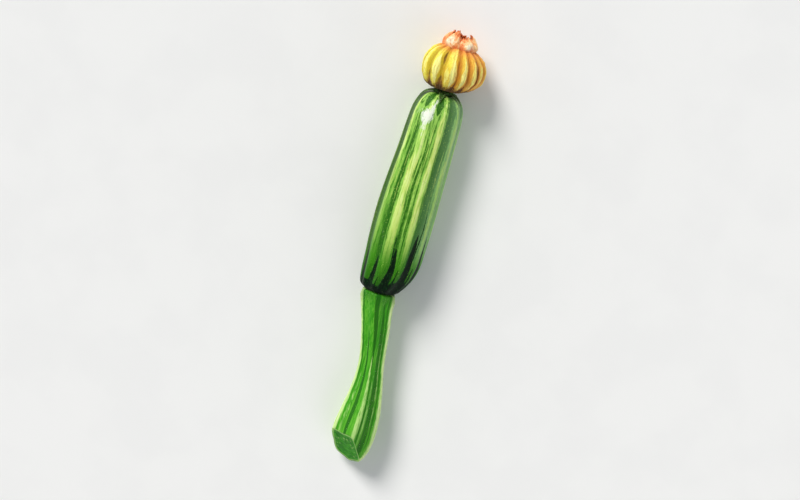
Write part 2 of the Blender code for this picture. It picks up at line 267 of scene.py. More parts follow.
@dataclass
class Form:
    """Points and faces of one closed body, with its marks.

    Attributes:
        points: positions, one in each row.
        faces: each face's points, by number.
        marks: for each mark, one number a point.
    """

    points: Array
    faces: list[tuple[int, ...]]
    marks: dict[Mark, Array]

    @classmethod
    def turned(cls, grid: Array, marks: dict[Mark, Array]) -> "Form":
        """A body from rings of points that close round an axis, with a point in the middle of either end.

        Args:
            grid: the rings' points, by ring, place in the ring and X, Y and Z.
            marks: for each mark, a number for each of the grid's points.

        Returns:
            The closed body.
        """
        count, sides = grid.shape[:2]
        number = np.arange(count * sides).reshape(count, sides)
        beside = np.roll(number, -1, axis=1)
        quads = np.stack([number[:-1], beside[:-1], beside[1:], number[1:]], axis=-1).reshape(-1, 4)
        first, last = count * sides, count * sides + 1
        fans = [(first, int(b), int(a)) for a, b in zip(number[0], beside[0])]
        fans += [(last, int(a), int(b)) for a, b in zip(number[-1], beside[-1])]
        points = np.vstack([grid.reshape(-1, 3), grid[0].mean(axis=0), grid[-1].mean(axis=0)])
        kept = {}
        for mark, values in marks.items():
            flat = np.broadcast_to(values, (count, sides))
            kept[mark] = np.concatenate([flat.ravel(), [flat[0].mean()], [flat[-1].mean()]])
        return cls(points, [tuple(map(int, quad)) for quad in quads] + fans, kept)

    @classmethod
    def blade(cls, grid: Array, thickness: Array | float, marks: dict[Mark, Array]) -> "Form":
        """A thin closed blade round a sheet of points.

        Args:
            grid: the sheet's points, by row, place in the row and X, Y and Z.
            thickness: the blade's thickness at each point.
            marks: for each mark, a number for each of the sheet's points.

        Returns:
            The closed body.
        """
        rows, columns = grid.shape[:2]
        facing = np.cross(np.gradient(grid, axis=1), np.gradient(grid, axis=0))
        facing /= np.maximum(np.linalg.norm(facing, axis=-1, keepdims=True), 1e-12)
        half = facing * (np.broadcast_to(thickness, (rows, columns))[..., None] / 2)
        number = np.arange(rows * columns).reshape(rows, columns)
        quads = np.stack([number[:-1, :-1], number[:-1, 1:], number[1:, 1:], number[1:, :-1]], axis=-1)
        front = quads.reshape(-1, 4)
        back = front[:, ::-1] + rows * columns
        rim = np.concatenate([number[0, :], number[1:, -1], number[-1, -2::-1], number[-2:0:-1, 0]])
        over = np.roll(rim, -1)
        sides = np.stack([over, rim, rim + rows * columns, over + rows * columns], axis=-1)
        points = np.vstack([(grid + half).reshape(-1, 3), (grid - half).reshape(-1, 3)])
        faces = [tuple(map(int, face)) for face in np.vstack([front, back, sides])]
        kept = {mark: np.tile(np.broadcast_to(v, (rows, columns)).ravel(), 2) for mark, v in marks.items()}
        return cls(points, faces, kept)

    def mesh(self, name: str) -> bpy.types.Mesh:
        """The body as a mesh.

        Args:
            name: the mesh's name.

        Returns:
            The mesh, with its faces turned outwards and its marks on its points.
        """
        mesh = bpy.data.meshes.new(name)
        mesh.from_pydata(self.points.tolist(), [], self.faces)
        for mark, values in self.marks.items():
            attribute = mesh.attributes.new(mark.value, "FLOAT", "POINT")
            attribute.data.foreach_set("value", values.astype(np.float32))
        work = bmesh.new()
        work.from_mesh(mesh)
        bmesh.ops.recalc_face_normals(work, faces=work.faces[:])
        work.to_mesh(mesh)
        work.free()
        return mesh


class Value:
    """A number on its way through a material, which Python's operators work on."""

    def __init__(self, graph: "Graph", source: bpy.types.NodeSocket) -> None:
        """Wraps an output socket of the graph."""
        self.graph = graph
        self.source = source

    def _math(self, operation: str, *operands: "Value | float") -> "Value":
        """One of Python's operations, as a Math node.

        Args:
            operation: the node's operation.
            *operands: the one or two numbers that it is done to.

        Returns:
            The result.
        """
        sockets = dict(zip(("Value", "Value_001"), operands))
        node = self.graph.add("ShaderNodeMath", {"operation": operation}, sockets)
        return Value(self.graph, node.outputs[0])

    def __add__(self, other: "Value | float") -> "Value":
        """self + other"""
        return self._math("ADD", self, other)

    def __radd__(self, other: float) -> "Value":
        """other + self"""
        return self._math("ADD", other, self)

    def __sub__(self, other: "Value | float") -> "Value":
        """self - other"""
        return self._math("SUBTRACT", self, other)

    def __rsub__(self, other: float) -> "Value":
        """other - self"""
        return self._math("SUBTRACT", other, self)

    def __mul__(self, other: "Value | float") -> "Value":
        """self * other"""
        return self._math("MULTIPLY", self, other)

    def __rmul__(self, other: float) -> "Value":
        """other * self"""
        return self._math("MULTIPLY", other, self)

    def __abs__(self) -> "Value":
        """The number without its sign."""
        return self._math("ABSOLUTE", self)

    def fraction(self) -> "Value":
        """What is left after the whole number."""
        return self._math("FRACT", self)

    def eased(self, low: float, high: float) -> "Value":
        """A smooth rise from 0 to 1, or a fall where high is the smaller.

        Args:
            low: where it is still 0.
            high: from where on it is 1.

        Returns:
            The rise.
        """
        sockets = {"Value": self, "From Min": low, "From Max": high}
        settings = {"interpolation_type": "SMOOTHSTEP", "clamp": True}
        node = self.graph.add("ShaderNodeMapRange", settings, sockets)
        return Value(self.graph, node.outputs["Result"])

    def torn(self, gain: float, ragged: "Value", least: float, full: float) -> "Value":
        """A ragged streak: how far its mark times gain, plus ragged, is past least, and solid at full."""
        return (self * gain + ragged - least).eased(0.0, full)


class Paint:
    """A colour on its way through a material."""

    def __init__(self, graph: "Graph", source: "bpy.types.NodeSocket | Colour") -> None:
        """Wraps a colour, or the socket that gives one."""
        self.graph = graph
        self.source = source

    def over(self, cover: "Value | float", colour: "Colour | Paint") -> "Paint":
        """This colour with another laid over it.

        Args:
            cover: how much of the other shows, from 0 to 1.
            colour: the other colour.

        Returns:
            The mixed colour.
        """
        settings = {"data_type": "RGBA", "clamp_factor": True}
        sockets = {"Factor_Float": cover, "A_Color": self, "B_Color": colour}
        node = self.graph.add("ShaderNodeMix", settings, sockets)
        return Paint(self.graph, next(s for s in node.outputs if s.identifier == "Result_Color"))

    def layered(self, *layers: tuple["Value | float", "Colour | Paint"]) -> "Paint":
        """This colour with several others laid over it.

        Args:
            *layers: how much of each shows, and its colour, with the lowest first.

        Returns:
            The mixed colour.
        """
        paint = self
        for cover, colour in layers:
            paint = paint.over(cover, colour)
        return paint


class Graph:
    """The nodes of a material or of the room's light."""

    def __init__(self, tree: bpy.types.NodeTree) -> None:
        """Starts from an emptied tree."""
        self.tree = tree
        self.tree.nodes.clear()

    def add(
        self, kind: str, settings: dict[str, Any] | None = None, sockets: dict[str, Any] | None = None
    ) -> bpy.types.Node:
        """Adds a node.

        Args:
            kind: the node's type.
            settings: its properties by name, set before its sockets.
            sockets: values, or what links to them, by the socket's identifier or name.

        Returns:
            The node.
        """
        node = self.tree.nodes.new(kind)
        for name, value in (settings or {}).items():
            setattr(node, name, value)
        for name, value in (sockets or {}).items():
            self.feed(node, name, value)
        return node

    def feed(self, node: bpy.types.Node, name: str, value: Any) -> None:
        """Sets one of a node's sockets, or links it.

        Args:
            node: the node.
            name: the socket's identifier or name.
            value: its value, or what gives it.
        """
        by_identifier = [s for s in node.inputs if s.identifier == name]
        target = (by_identifier or [s for s in node.inputs if s.name == name])[0]
        source = value.source if isinstance(value, (Value, Paint)) else value
        if isinstance(source, bpy.types.NodeSocket):
            self.tree.links.new(source, target)
        else:
            target.default_value = source

    def mark(self, mark: Mark) -> Value:
        """One of the numbers kept on the piece's points."""
        node = self.add("ShaderNodeAttribute", {"attribute_type": "GEOMETRY", "attribute_name": mark.value})
        return Value(self, node.outputs["Fac"])

    def placed(self, size: tuple[float, float, float], seed: float = 0.0) -> bpy.types.NodeSocket:
        """The place on the piece, counted in steps.

        Args:
            size: a step along X, Y and Z, in millimetres.
            seed: shifts the place.

        Returns:
            The socket that gives it.
        """
        scale = tuple(1 / (step * MM) for step in size)
        place = self.add("ShaderNodeTexCoord").outputs["Object"]
        sockets = {"Vector": place, "Scale": scale, "Location": (seed, seed, seed)}
        return self.add("ShaderNodeMapping", sockets=sockets).outputs["Vector"]

    def grain(self, size: tuple[float, float, float], detail: float = 2.0, seed: float = 0.0) -> Value:
        """Smooth chance from 0 to 1, mostly near 0.5, with swellings of a size in millimetres."""
        sockets = {"Vector": self.placed(size, seed), "Scale": 1.0, "Detail": detail}
        return Value(self, self.add("ShaderNodeTexNoise", sockets=sockets).outputs["Fac"])

    def dots(self, size: tuple[float, float, float], seed: float = 0.0) -> Value:
        """The distance to the nearest of many scattered points, in cells of a size in millimetres."""
        node = self.add("ShaderNodeTexVoronoi", sockets={"Vector": self.placed(size, seed), "Scale": 1.0})
        return Value(self, node.outputs["Distance"])


class Coat(Graph):
    """A material round one Principled shader."""

    def __init__(self, name: str) -> None:
        """Starts a material.

        Args:
            name: the material's name.
        """
        self.material = bpy.data.materials.new(name)
        self.material.use_nodes = True
        super().__init__(self.material.node_tree)
        self.shader = self.add("ShaderNodeBsdfPrincipled")
        self.add("ShaderNodeOutputMaterial", sockets={"Surface": self.shader.outputs["BSDF"]})

    def finish(
        self, colour: Paint, roughness: "Value | float", relief: Value, depth: float, **uniform: Any
    ) -> bpy.types.Material:
        """Connects the shader.

        Args:
            colour: the base colour.
            roughness: the roughness.
            relief: the height of the fine relief, from 0 to 1.
            depth: how high that relief is at 1, in metres.
            **uniform: the shader's other sockets by name, with underscores for spaces.

        Returns:
            The material.
        """
        self.feed(self.shader, "Base Color", colour)
        self.feed(self.shader, "Roughness", roughness)
        bump = self.add("ShaderNodeBump", sockets={"Height": relief, "Distance": depth, "Strength": 1.0})
        self.feed(self.shader, "Normal", bump.outputs["Normal"])
        for name, value in uniform.items():
            self.feed(self.shader, name.replace("_", " "), value)
        return self.material


@dataclass(frozen=True)
class SkinFinish:
    """The fruit's waxy skin: streaked along its ridges, and black-toothed at the stalk."""

    mid: Colour = tint("68a838")
    fresh: Colour = tint("93cc55")
    young: Colour = tint("a9d468")
    deep: Colour = tint("3c821c")
    furrow: Colour = tint("22600f")
    pale: Colour = tint("b9e46c")
    straw: Colour = tint("d2e274")
    # colour of the painted highlight along the pale streaks
    streak_highlight: Colour = tint("e0f29c")
    black: Colour = tint("03120a")
    bottle: Colour = tint("12401a")
    tongue: Colour = tint("3a8a0e")
    # colour of the wax bloom, which also stands for painted cool shade on the right side
    bloom_and_shade_tint: Colour = tint("97c48c")
    # colour of the painted shade on the left edge
    olive: Colour = tint("2c4a04")
    # colour of the painted highlight on the shoulder
    frost: Colour = tint("f2f7ea")

    def material(self) -> bpy.types.Material:
        """Lays the skin's streaks, teeth, wax bloom, painted shade and painted highlights over its green.

        Returns:
            The material.
        """
        g = Coat("courgette_skin")
        along, side = g.mark(Mark.ALONG), g.mark(Mark.SIDE)
        pale_mark, dark_mark, tooth_mark = g.mark(Mark.PALE), g.mark(Mark.DARK), g.mark(Mark.TOOTH)
        streak = g.grain((1.1, 17, 1.1), 3, 4)
        fleck = g.grain((0.8, 2.6, 0.8), 2, 9)
        drift = g.grain((6, 34, 6), 2, 2)
        ragged = streak * 0.55 + fleck * 0.45 - 0.5
        lower = along.eased(0.5, 0.12)
        dark = dark_mark.torn(1.5, ragged * 3, 0.35, 0.9)
        pale = pale_mark.torn(1.5, ragged * 3, 0.4, 0.9) * (1 - along.eased(0.36, 0.12) * 0.85)
        # painted highlight: the middle of the most solid pale streaks is made lighter
        core = pale_mark.eased(0.8, 1.0) * streak.eased(0.42, 0.6) * along.eased(0.2, 0.5)
        # painted highlight: pale shining patches painted on the shoulder
        frost = g.mark(Mark.PAINTED_HIGHLIGHT).torn(1.6, ragged * 4.4, 0.55, 0.8) * (1 - dark * 0.3)
        # partly wax bloom, partly painted cool shade on the right side
        bloom_and_painted_shade = side.eased(0.3, 0.9) * (0.15 + drift * 0.7) * (1 - dark * 0.3) * along.eased(0.1, 0.3)
        shade = (tooth_mark * 1.3 + ragged * 2.6).eased(0.1, 0.9)
        tooth = tooth_mark.torn(1.6, ragged * 3.8, 0.5, 0.6)
        lenticel = g.dots((1.5, 2.4, 1.5), 3).eased(0.22, 0.1) * drift.eased(0.35, 0.6)
        fine = g.dots((0.8, 1.3, 0.8), 6).eased(0.26, 0.12)
        stripe = Paint(g, self.pale).layered(
            (drift.eased(0.42, 0.58) * 0.8, self.straw),
            (core, self.streak_highlight),
            (streak.eased(0.47, 0.36) * 0.7, self.fresh),
            (lower * 0.5, self.fresh),
        )
        ink = Paint(g, self.black).over((streak * 0.6 + fleck * 0.4).eased(0.5, 0.66) * 0.8, self.bottle)
        paint = Paint(g, self.mid).layered(
            ((streak + drift * 0.5).eased(0.62, 0.86) * 0.85, self.fresh),
            (fleck.eased(0.56, 0.68) * 0.4, self.young),
            (along.eased(0.6, 1.0) * 0.35, self.young),
            (lower * 0.7, self.deep),
            ((streak - fleck * 0.3).eased(0.36, 0.24) * 0.7, self.furrow),
            (dark * 0.92, self.furrow),
            (pale * 0.95, stripe),
            # painted highlight on the shoulder
            (frost * 0.92, self.frost),
            # wax bloom with painted cool shade on the right side
            (bloom_and_painted_shade * (1 - pale * 0.4), self.bloom_and_shade_tint),
            # painted shade: the left side is darkened deep green lower down, and its edge olive
            (side.eased(-0.4, -0.95) * along.eased(0.8, 0.4) * (0.3 + drift * 0.5), self.deep),
            (side.eased(-0.8, -1.0) * 0.7, self.olive),
            (along.eased(0.28, 0.12) * 0.75 * (1 - dark), self.tongue),
            ((along + ragged * 0.16).eased(0.2, 0.04) * 0.8, self.furrow),
            (shade * 0.9, self.furrow),
            (tooth * 0.96, ink),
            ((along + ragged * 0.08).eased(0.05, 0.005) * 0.9, self.black),
            ((lenticel * 0.5 + fine * 0.2) * (1 - tooth * 0.8), self.pale),
        )
        relief = streak * 0.35 + fleck * 0.3 + (1 - lenticel) * 0.35
        g.feed(g.shader, "Coat Weight", 0.02 + along.eased(0.6, 0.95) * 0.3)
        roughness = 0.3 + fleck * 0.16 + tooth * 0.1
        return g.finish(
            paint, roughness, relief, 0.1 * MM,
            Subsurface_Weight=0.05, Subsurface_Radius=(0.8, 1.0, 0.3), Subsurface_Scale=1.5 * MM,
            Coat_Roughness=0.14, IOR=1.38, Specular_IOR_Level=0.12,
        )


@dataclass(frozen=True)
class StalkFinish:
    """The stalk's firm, ribbed skin, and its wet cut face."""

    mid: Colour = tint("3b9a18")
    fresh: Colour = tint("66b834")
    furrow: Colour = tint("165c08")
    pale: Colour = tint("bfe58a")
    cream: Colour = tint("dff0ae")
    foot: Colour = tint("6cb436")
    cut: Colour = tint("167400")
    wet: Colour = tint("45a818")
    bundle: Colour = tint("b4dc80")

    def material(self) -> bpy.types.Material:
        """Lays the stalk's streaks over its green, and its cut face over its skin.

        Returns:
            The material.
        """
        g = Coat("courgette_stalk")
        along, pale_mark = g.mark(Mark.ALONG), g.mark(Mark.PALE)
        cut, core = g.mark(Mark.CUT), g.mark(Mark.CORE)
        fibre = g.grain((0.7, 20, 0.7), 3)
        fine = g.grain((0.4, 5, 0.4), 2, 11)
        patch = g.grain((6, 26, 6), 2, 3)
        ragged = fibre * 0.7 + fine * 0.3 - 0.5
        smear = g.grain((5, 1.4, 2.2), 2, 15)
        pores = g.dots((0.8, 0.8, 0.8), 7).eased(0.12, 0.5)
        ring = (core + (g.grain((3, 3, 3), 2, 8) - 0.5) * 0.3).eased(0.18, 0.34) * core.eased(0.62, 0.42)
        bundles = g.dots((3.2, 3.2, 3.2), 2).eased(0.42, 0.18) * ring
        stripe = Paint(g, self.pale).over(pale_mark.eased(0.8, 1.0) * fibre.eased(0.4, 0.58), self.cream)
        face = Paint(g, self.cut).layered(
            (smear.eased(0.44, 0.6) * 0.7, self.wet),
            (smear.eased(0.42, 0.3) * 0.5, self.furrow),
            (pores * 0.2, self.wet),
            (core.eased(0.6, 0.95) * 0.4, self.wet),
            (bundles * 0.45, self.bundle),
            (core.eased(0.15, 0.05) * 0.9, self.pale),
        )
        paint = Paint(g, self.mid).layered(
            ((fibre + patch * 0.5).eased(0.66, 0.9) * 0.8, self.fresh),
            (fibre.eased(0.4, 0.26) * 0.5, self.furrow),
            (along.eased(0.55, 0.95) * patch.eased(0.3, 0.6) * 0.35, self.foot),
            (g.mark(Mark.DARK).torn(1.5, ragged * 2.6, 0.35, 1.0) * 0.85, self.furrow),
            (pale_mark.torn(1.5, ragged * 2.4, 0.35, 1.0) * 0.95, stripe),
            (along.eased(0.1, 0.0) * 0.5, self.furrow),
            (cut, face),
        )
        relief = fibre * 0.55 + fine * 0.25 + pores * cut * 0.2
        roughness = 0.42 + fibre * 0.14 + cut * 0.08
        return g.finish(
            paint, roughness, relief, 0.13 * MM,
            Subsurface_Weight=0.08, Subsurface_Radius=(0.8, 1.0, 0.3), Subsurface_Scale=1.5 * MM,
            Coat_Weight=0.04, Coat_Roughness=0.35, IOR=1.38, Specular_IOR_Level=0.18,
        )


@dataclass(frozen=True)
class CalyxFinish:
    """The dull, dark green calyx, brownish in patches."""

    deep: Colour = tint("173a06")
    fresh: Colour = tint("3a6a14")
    brown: Colour = tint("3f3a0c")
    pale: Colour = tint("8fb566")

    def material(self) -> bpy.types.Material:
        """Lays patches over the calyx's dark green, and pales its edges and midribs.

        Returns:
            The material.
        """
        g = Coat("courgette_calyx")
        fibre = g.grain((0.5, 4, 0.5), 3)
        patch = g.grain((3, 3, 3), 2, 3)
        paint = Paint(g, self.deep).layered(
            (patch.eased(0.42, 0.65) * 0.75, self.fresh),
            (patch.eased(0.45, 0.3) * 0.7, self.brown),
            (fibre.eased(0.5, 0.7) * 0.3, self.pale),
            ((g.mark(Mark.EDGE).eased(0.6, 1.0) + g.mark(Mark.CREST).eased(0.7, 1.0)) * 0.35, self.pale),
        )
        return g.finish(
            paint, 0.48 + fibre * 0.2, fibre * 0.6 + patch * 0.4, 0.15 * MM,
            Subsurface_Weight=0.04, Subsurface_Radius=(0.6, 1.0, 0.3), Subsurface_Scale=1 * MM,
            Specular_IOR_Level=0.25,
        )


@dataclass(frozen=True)
class PetalFinish:
    """The folded petals: pale yellow with painted highlights on their folds, and orange, rust, olive and
    painted shade between them.
    """

    cream: Colour = tint("fff996")
    light: Colour = tint("fdf070")
    lemon: Colour = tint("f6ec50")
    yellow: Colour = tint("fad850")
    gold: Colour = tint("e4b02c")
    orange: Colour = tint("f09e40")
    rust: Colour = tint("bc7012")
    brown: Colour = tint("4c2a04")
    olive: Colour = tint("bfae1c")
    salmon: Colour = tint("ea8448")

    def material(self) -> bpy.types.Material:
        """Lays the bulb's colours over gold: olive on its left, orange on its right, painted highlights on
        its crests, and rust lines and painted shade in its folds.

        Returns:
            The material.
        """
        g = Coat("courgette_petal")
        up, side, crest = g.mark(Mark.ALONG), g.mark(Mark.SIDE), g.mark(Mark.CREST)
        pale_mark, dark_mark = g.mark(Mark.PALE), g.mark(Mark.DARK)
        crinkle = g.grain((0.8, 5, 0.8), 3)
        fine = g.grain((0.35, 2.4, 0.35), 2, 8)
        patch = g.grain((4, 6, 4), 2, 6)
        ragged = crinkle * 0.65 + fine * 0.35 - 0.5
        left = (side + (patch - 0.5) * 0.8).eased(0.25, -0.55)
        right = (side + (patch - 0.5) * 0.8).eased(0.1, 0.9)
        # painted highlights: pale lenses on the pleats, creamier where strongest
        pale = pale_mark.torn(1.4, ragged * 3, 0.4, 1.0)
        lens = pale_mark.eased(0.55, 1.0) * (1 - right * 0.3)
        # painted shade: rust and olive darken the furrows between the pleats
        hollow = (1 - crest + ragged * 1.2).eased(0.15, 0.8)
        dark = dark_mark.torn(1.6, ragged * 3.2, 0.5, 1.0)
        threads = abs((g.mark(Mark.PLACE) * 6 + (patch - 0.5) * 1.6).fraction() - 0.5)
        vein = (threads + (fine - 0.5) * 0.3).eased(0.19, 0.02) * patch.eased(0.25, 0.5)
        base = (up.eased(0.3, 0.04) + (1 - crest) * 0.6 + ragged * 2.2).eased(0.45, 1.1)
        base = base * up.eased(0.42, 0.14)
        paint = Paint(g, self.gold).layered(
            (left * 0.7, self.olive),
            # painted highlights: the pleats' crests are made yellow, and lighter still on the highest
            ((crest + ragged * 1.5).eased(0.45, 1.0), Paint(g, self.yellow).over(left, self.lemon)),
            ((crest + ragged * 1.8 + (patch - 0.5)).eased(0.8, 1.25) * 0.8, self.light),
            (right * 0.65, self.orange),
            # painted lens highlights on the pleats
            (pale, Paint(g, self.light).over(lens, self.cream)),
            # painted shade in the furrows between the pleats
            (hollow * 0.7, Paint(g, self.rust).over(left, self.olive)),
            (dark * 0.8, Paint(g, self.rust).over(left * 0.6, self.olive)),
            (dark * dark_mark.eased(0.8, 1.0) * (1 - left * 0.35) * 0.85, self.brown),
            (vein * 0.42, Paint(g, self.gold).over(right * 0.7, self.rust)),
            (base * 0.8, self.rust),
            (base * base * 0.9, self.brown),
            ((up + ragged * 0.3).eased(0.84, 1.0) * (1 - pale_mark * 0.7) * 0.8, self.salmon),
            # painted shade in the neck's furrows
            (up.eased(0.86, 1.0) * hollow, self.rust),
        )
        relief = crinkle * 0.4 + fine * 0.25 + vein * 0.35
        return g.finish(
            paint, 0.54 + crinkle * 0.2, relief, 0.36 * MM,
            Subsurface_Weight=0.14, Subsurface_Radius=(1.0, 0.6, 0.2), Subsurface_Scale=1.4 * MM,
            Sheen_Weight=0.08, Sheen_Roughness=0.5, Specular_IOR_Level=0.3,
        )


@dataclass(frozen=True)
class TipFinish:
    """The petals' withering tips: a painted cream highlight where they puff out, salmon and rust where they
    fold, and painted red shade in the folds.
    """

    cream: Colour = tint("fff0cf")
    peach: Colour = tint("fbcf96")
    salmon: Colour = tint("f2a062")
    red: Colour = tint("d8622a")
    rust: Colour = tint("93400e")
    tan: Colour = tint("c0935a")

    def material(self) -> bpy.types.Material:
        """Lays the tips' colours over salmon: painted light on the crumples' crests, a painted cream
        highlight where they puff out, painted red shade in their folds, and redder towards their edges and
        veins.

        Returns:
            The material.
        """
        g = Coat("courgette_petal_tip")
        up, edge, crest = g.mark(Mark.ALONG), g.mark(Mark.EDGE), g.mark(Mark.CREST)
        crinkle = g.grain((1.4, 2.6, 1.4), 4)
        patch = g.grain((3.0, 3.0, 3.0), 2, 4)
        fine = g.grain((0.3, 1.6, 0.3), 2, 8)
        ragged = crinkle * 0.7 + fine * 0.3 - 0.5
        threads = abs((g.mark(Mark.PLACE) * 9 + (patch - 0.5) * 1.5).fraction() - 0.5)
        vein = (threads + (fine - 0.5) * 0.4).eased(0.16, 0.0) * crinkle.eased(0.4, 0.6)
        paint = Paint(g, self.salmon).layered(
            # painted light: peach on the crests of the crumples
            ((crest + ragged * 1.6).eased(0.3, 0.8), self.peach),
            # painted highlight where the tip puffs out
            ((g.mark(Mark.PALE) + ragged * 2).eased(0.3, 0.9), self.cream),
            # painted shade: red in the folds between the crumples
            ((1 - crest + ragged).eased(0.6, 1.1) * 0.7, self.red),
            ((edge + ragged * 1.2).eased(0.5, 1.0) * 0.85, self.red),
            ((edge + ragged * 0.8).eased(0.9, 1.1) * 0.6, self.rust),
            (up.eased(0.34, 0.0) * (0.7 + ragged), self.red),
            (patch.eased(0.58, 0.72) * 0.5, self.tan),
            (vein * 0.25, self.red),
        )
        relief = crinkle * 0.6 + fine * 0.2 + vein * 0.2
        return g.finish(
            paint, 0.5 + crinkle * 0.2, relief, 0.3 * MM,
            Subsurface_Weight=0.16, Subsurface_Radius=(1.0, 0.6, 0.3), Subsurface_Scale=1.4 * MM,
            Sheen_Weight=0.08, Sheen_Roughness=0.5, Specular_IOR_Level=0.3,
        )


@dataclass(frozen=True)
class HairFinish:
    """The short, clear hairs of the green parts."""

    clear: Colour = tint("e6f0d2")
    root: Colour = tint("7aa64e")

    def material(self) -> bpy.types.Material:
        """Makes the hairs a little darker where they leave the skin.

        Returns:
            The material.
        """
        g = Coat("clear_hair")
        paint = Paint(g, self.clear).over(g.mark(Mark.ALONG).eased(0.6, 0.0) * 0.5, self.root)
        grain = g.grain((0.3, 0.3, 0.3))
        return g.finish(paint, 0.35 + grain * 0.1, grain, 0.01 * MM, Transmission_Weight=0.3)


@dataclass(frozen=True)
class SurfaceFinish:
    """The plain pale surface that the courgette lies on."""

    pale: Colour = (0.93, 0.93, 0.92, 1.0)
    shade: Colour = (0.89, 0.89, 0.885, 1.0)

    def material(self) -> bpy.types.Material:
        """Lays a faint mottle over the surface's colour.

        Returns:
            The material.
        """
        g = Coat("pale_surface")
        mottle = g.grain((60, 60, 60), 3)
        tooth = g.grain((0.6, 0.6, 0.6), 2, 2)
        paint = Paint(g, self.pale).over(mottle.eased(0.4, 0.65) * 0.5, self.shade)
        return g.finish(paint, 0.8 + tooth * 0.1, tooth, 0.02 * MM, IOR=1.3)


def linked(name: str, data: bpy.types.ID) -> bpy.types.Object:
    """Puts something into the scene.

    Args:
        name: the object's name.
        data: its mesh, light or camera.

    Returns:
        The object.
    """
    thing = bpy.data.objects.new(name, data)
    bpy.context.scene.collection.objects.link(thing)
    return thing


def show(
    name: str, mesh: bpy.types.Mesh, material: bpy.types.Material, node: str | None
) -> bpy.types.Object:
    """Adds a finished piece of the courgette.

    Args:
        name: the piece's name.
        mesh: its mesh, where it lies.
        material: its finish.
        node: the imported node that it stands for, or None for what grows on one.

    Returns:
        The piece.
    """
    mesh.materials.append(material)
    mesh.shade_smooth()
    piece = linked(name, mesh)
    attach(piece, "root")
    if node:
        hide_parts(node)
    log.info("%s: %d points", name, len(mesh.vertices))
    return piece


def show_standing(
    forms: dict[str, tuple[Form, bpy.types.Material]], laying: Matrix, node: str
) -> list[bpy.types.Object]:
    """Lays standing forms down and adds them.

    Args:
        forms: each piece's form and finish, by its name.
        laying: what moves a standing form to where it lies.
        node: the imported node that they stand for.

    Returns:
        The pieces.
    """
    pieces = []
    for name, (form, material) in forms.items():
        mesh = form.mesh(name)
        mesh.transform(laying)
        pieces.append(show(name, mesh, material, node))
    return pieces


def standing(radius: Array, angle: Array, height: Array) -> Array:
    """Standing points from their distance to the axis, their angle round it and their height."""
    return np.stack(np.broadcast_arrays(radius * np.cos(angle), radius * np.sin(angle), height), axis=-1)


def rings(outline: Sequence[tuple[float, float]], steps: int, sides: int) -> tuple[Array, Array, Array]:
    """What a body turned round the axis starts from.

    Args:
        outline: its outline from axis to axis, as distances to the axis and heights.
        steps: how many rings there are from each of the outline's points to the next.
        sides: how many points a ring has.

    Returns:
        The rings' radius and height, one in each row, and the points' angle round the axis, one in each
        column. The angle starts and ends on the side that ends up underneath.
    """
    line = smooth_line(outline, steps)
    angle = np.linspace(-1.5 * math.pi, 0.5 * math.pi, sides, endpoint=False)
    return line[1:-1, :1], line[1:-1, 1:], angle[None, :]


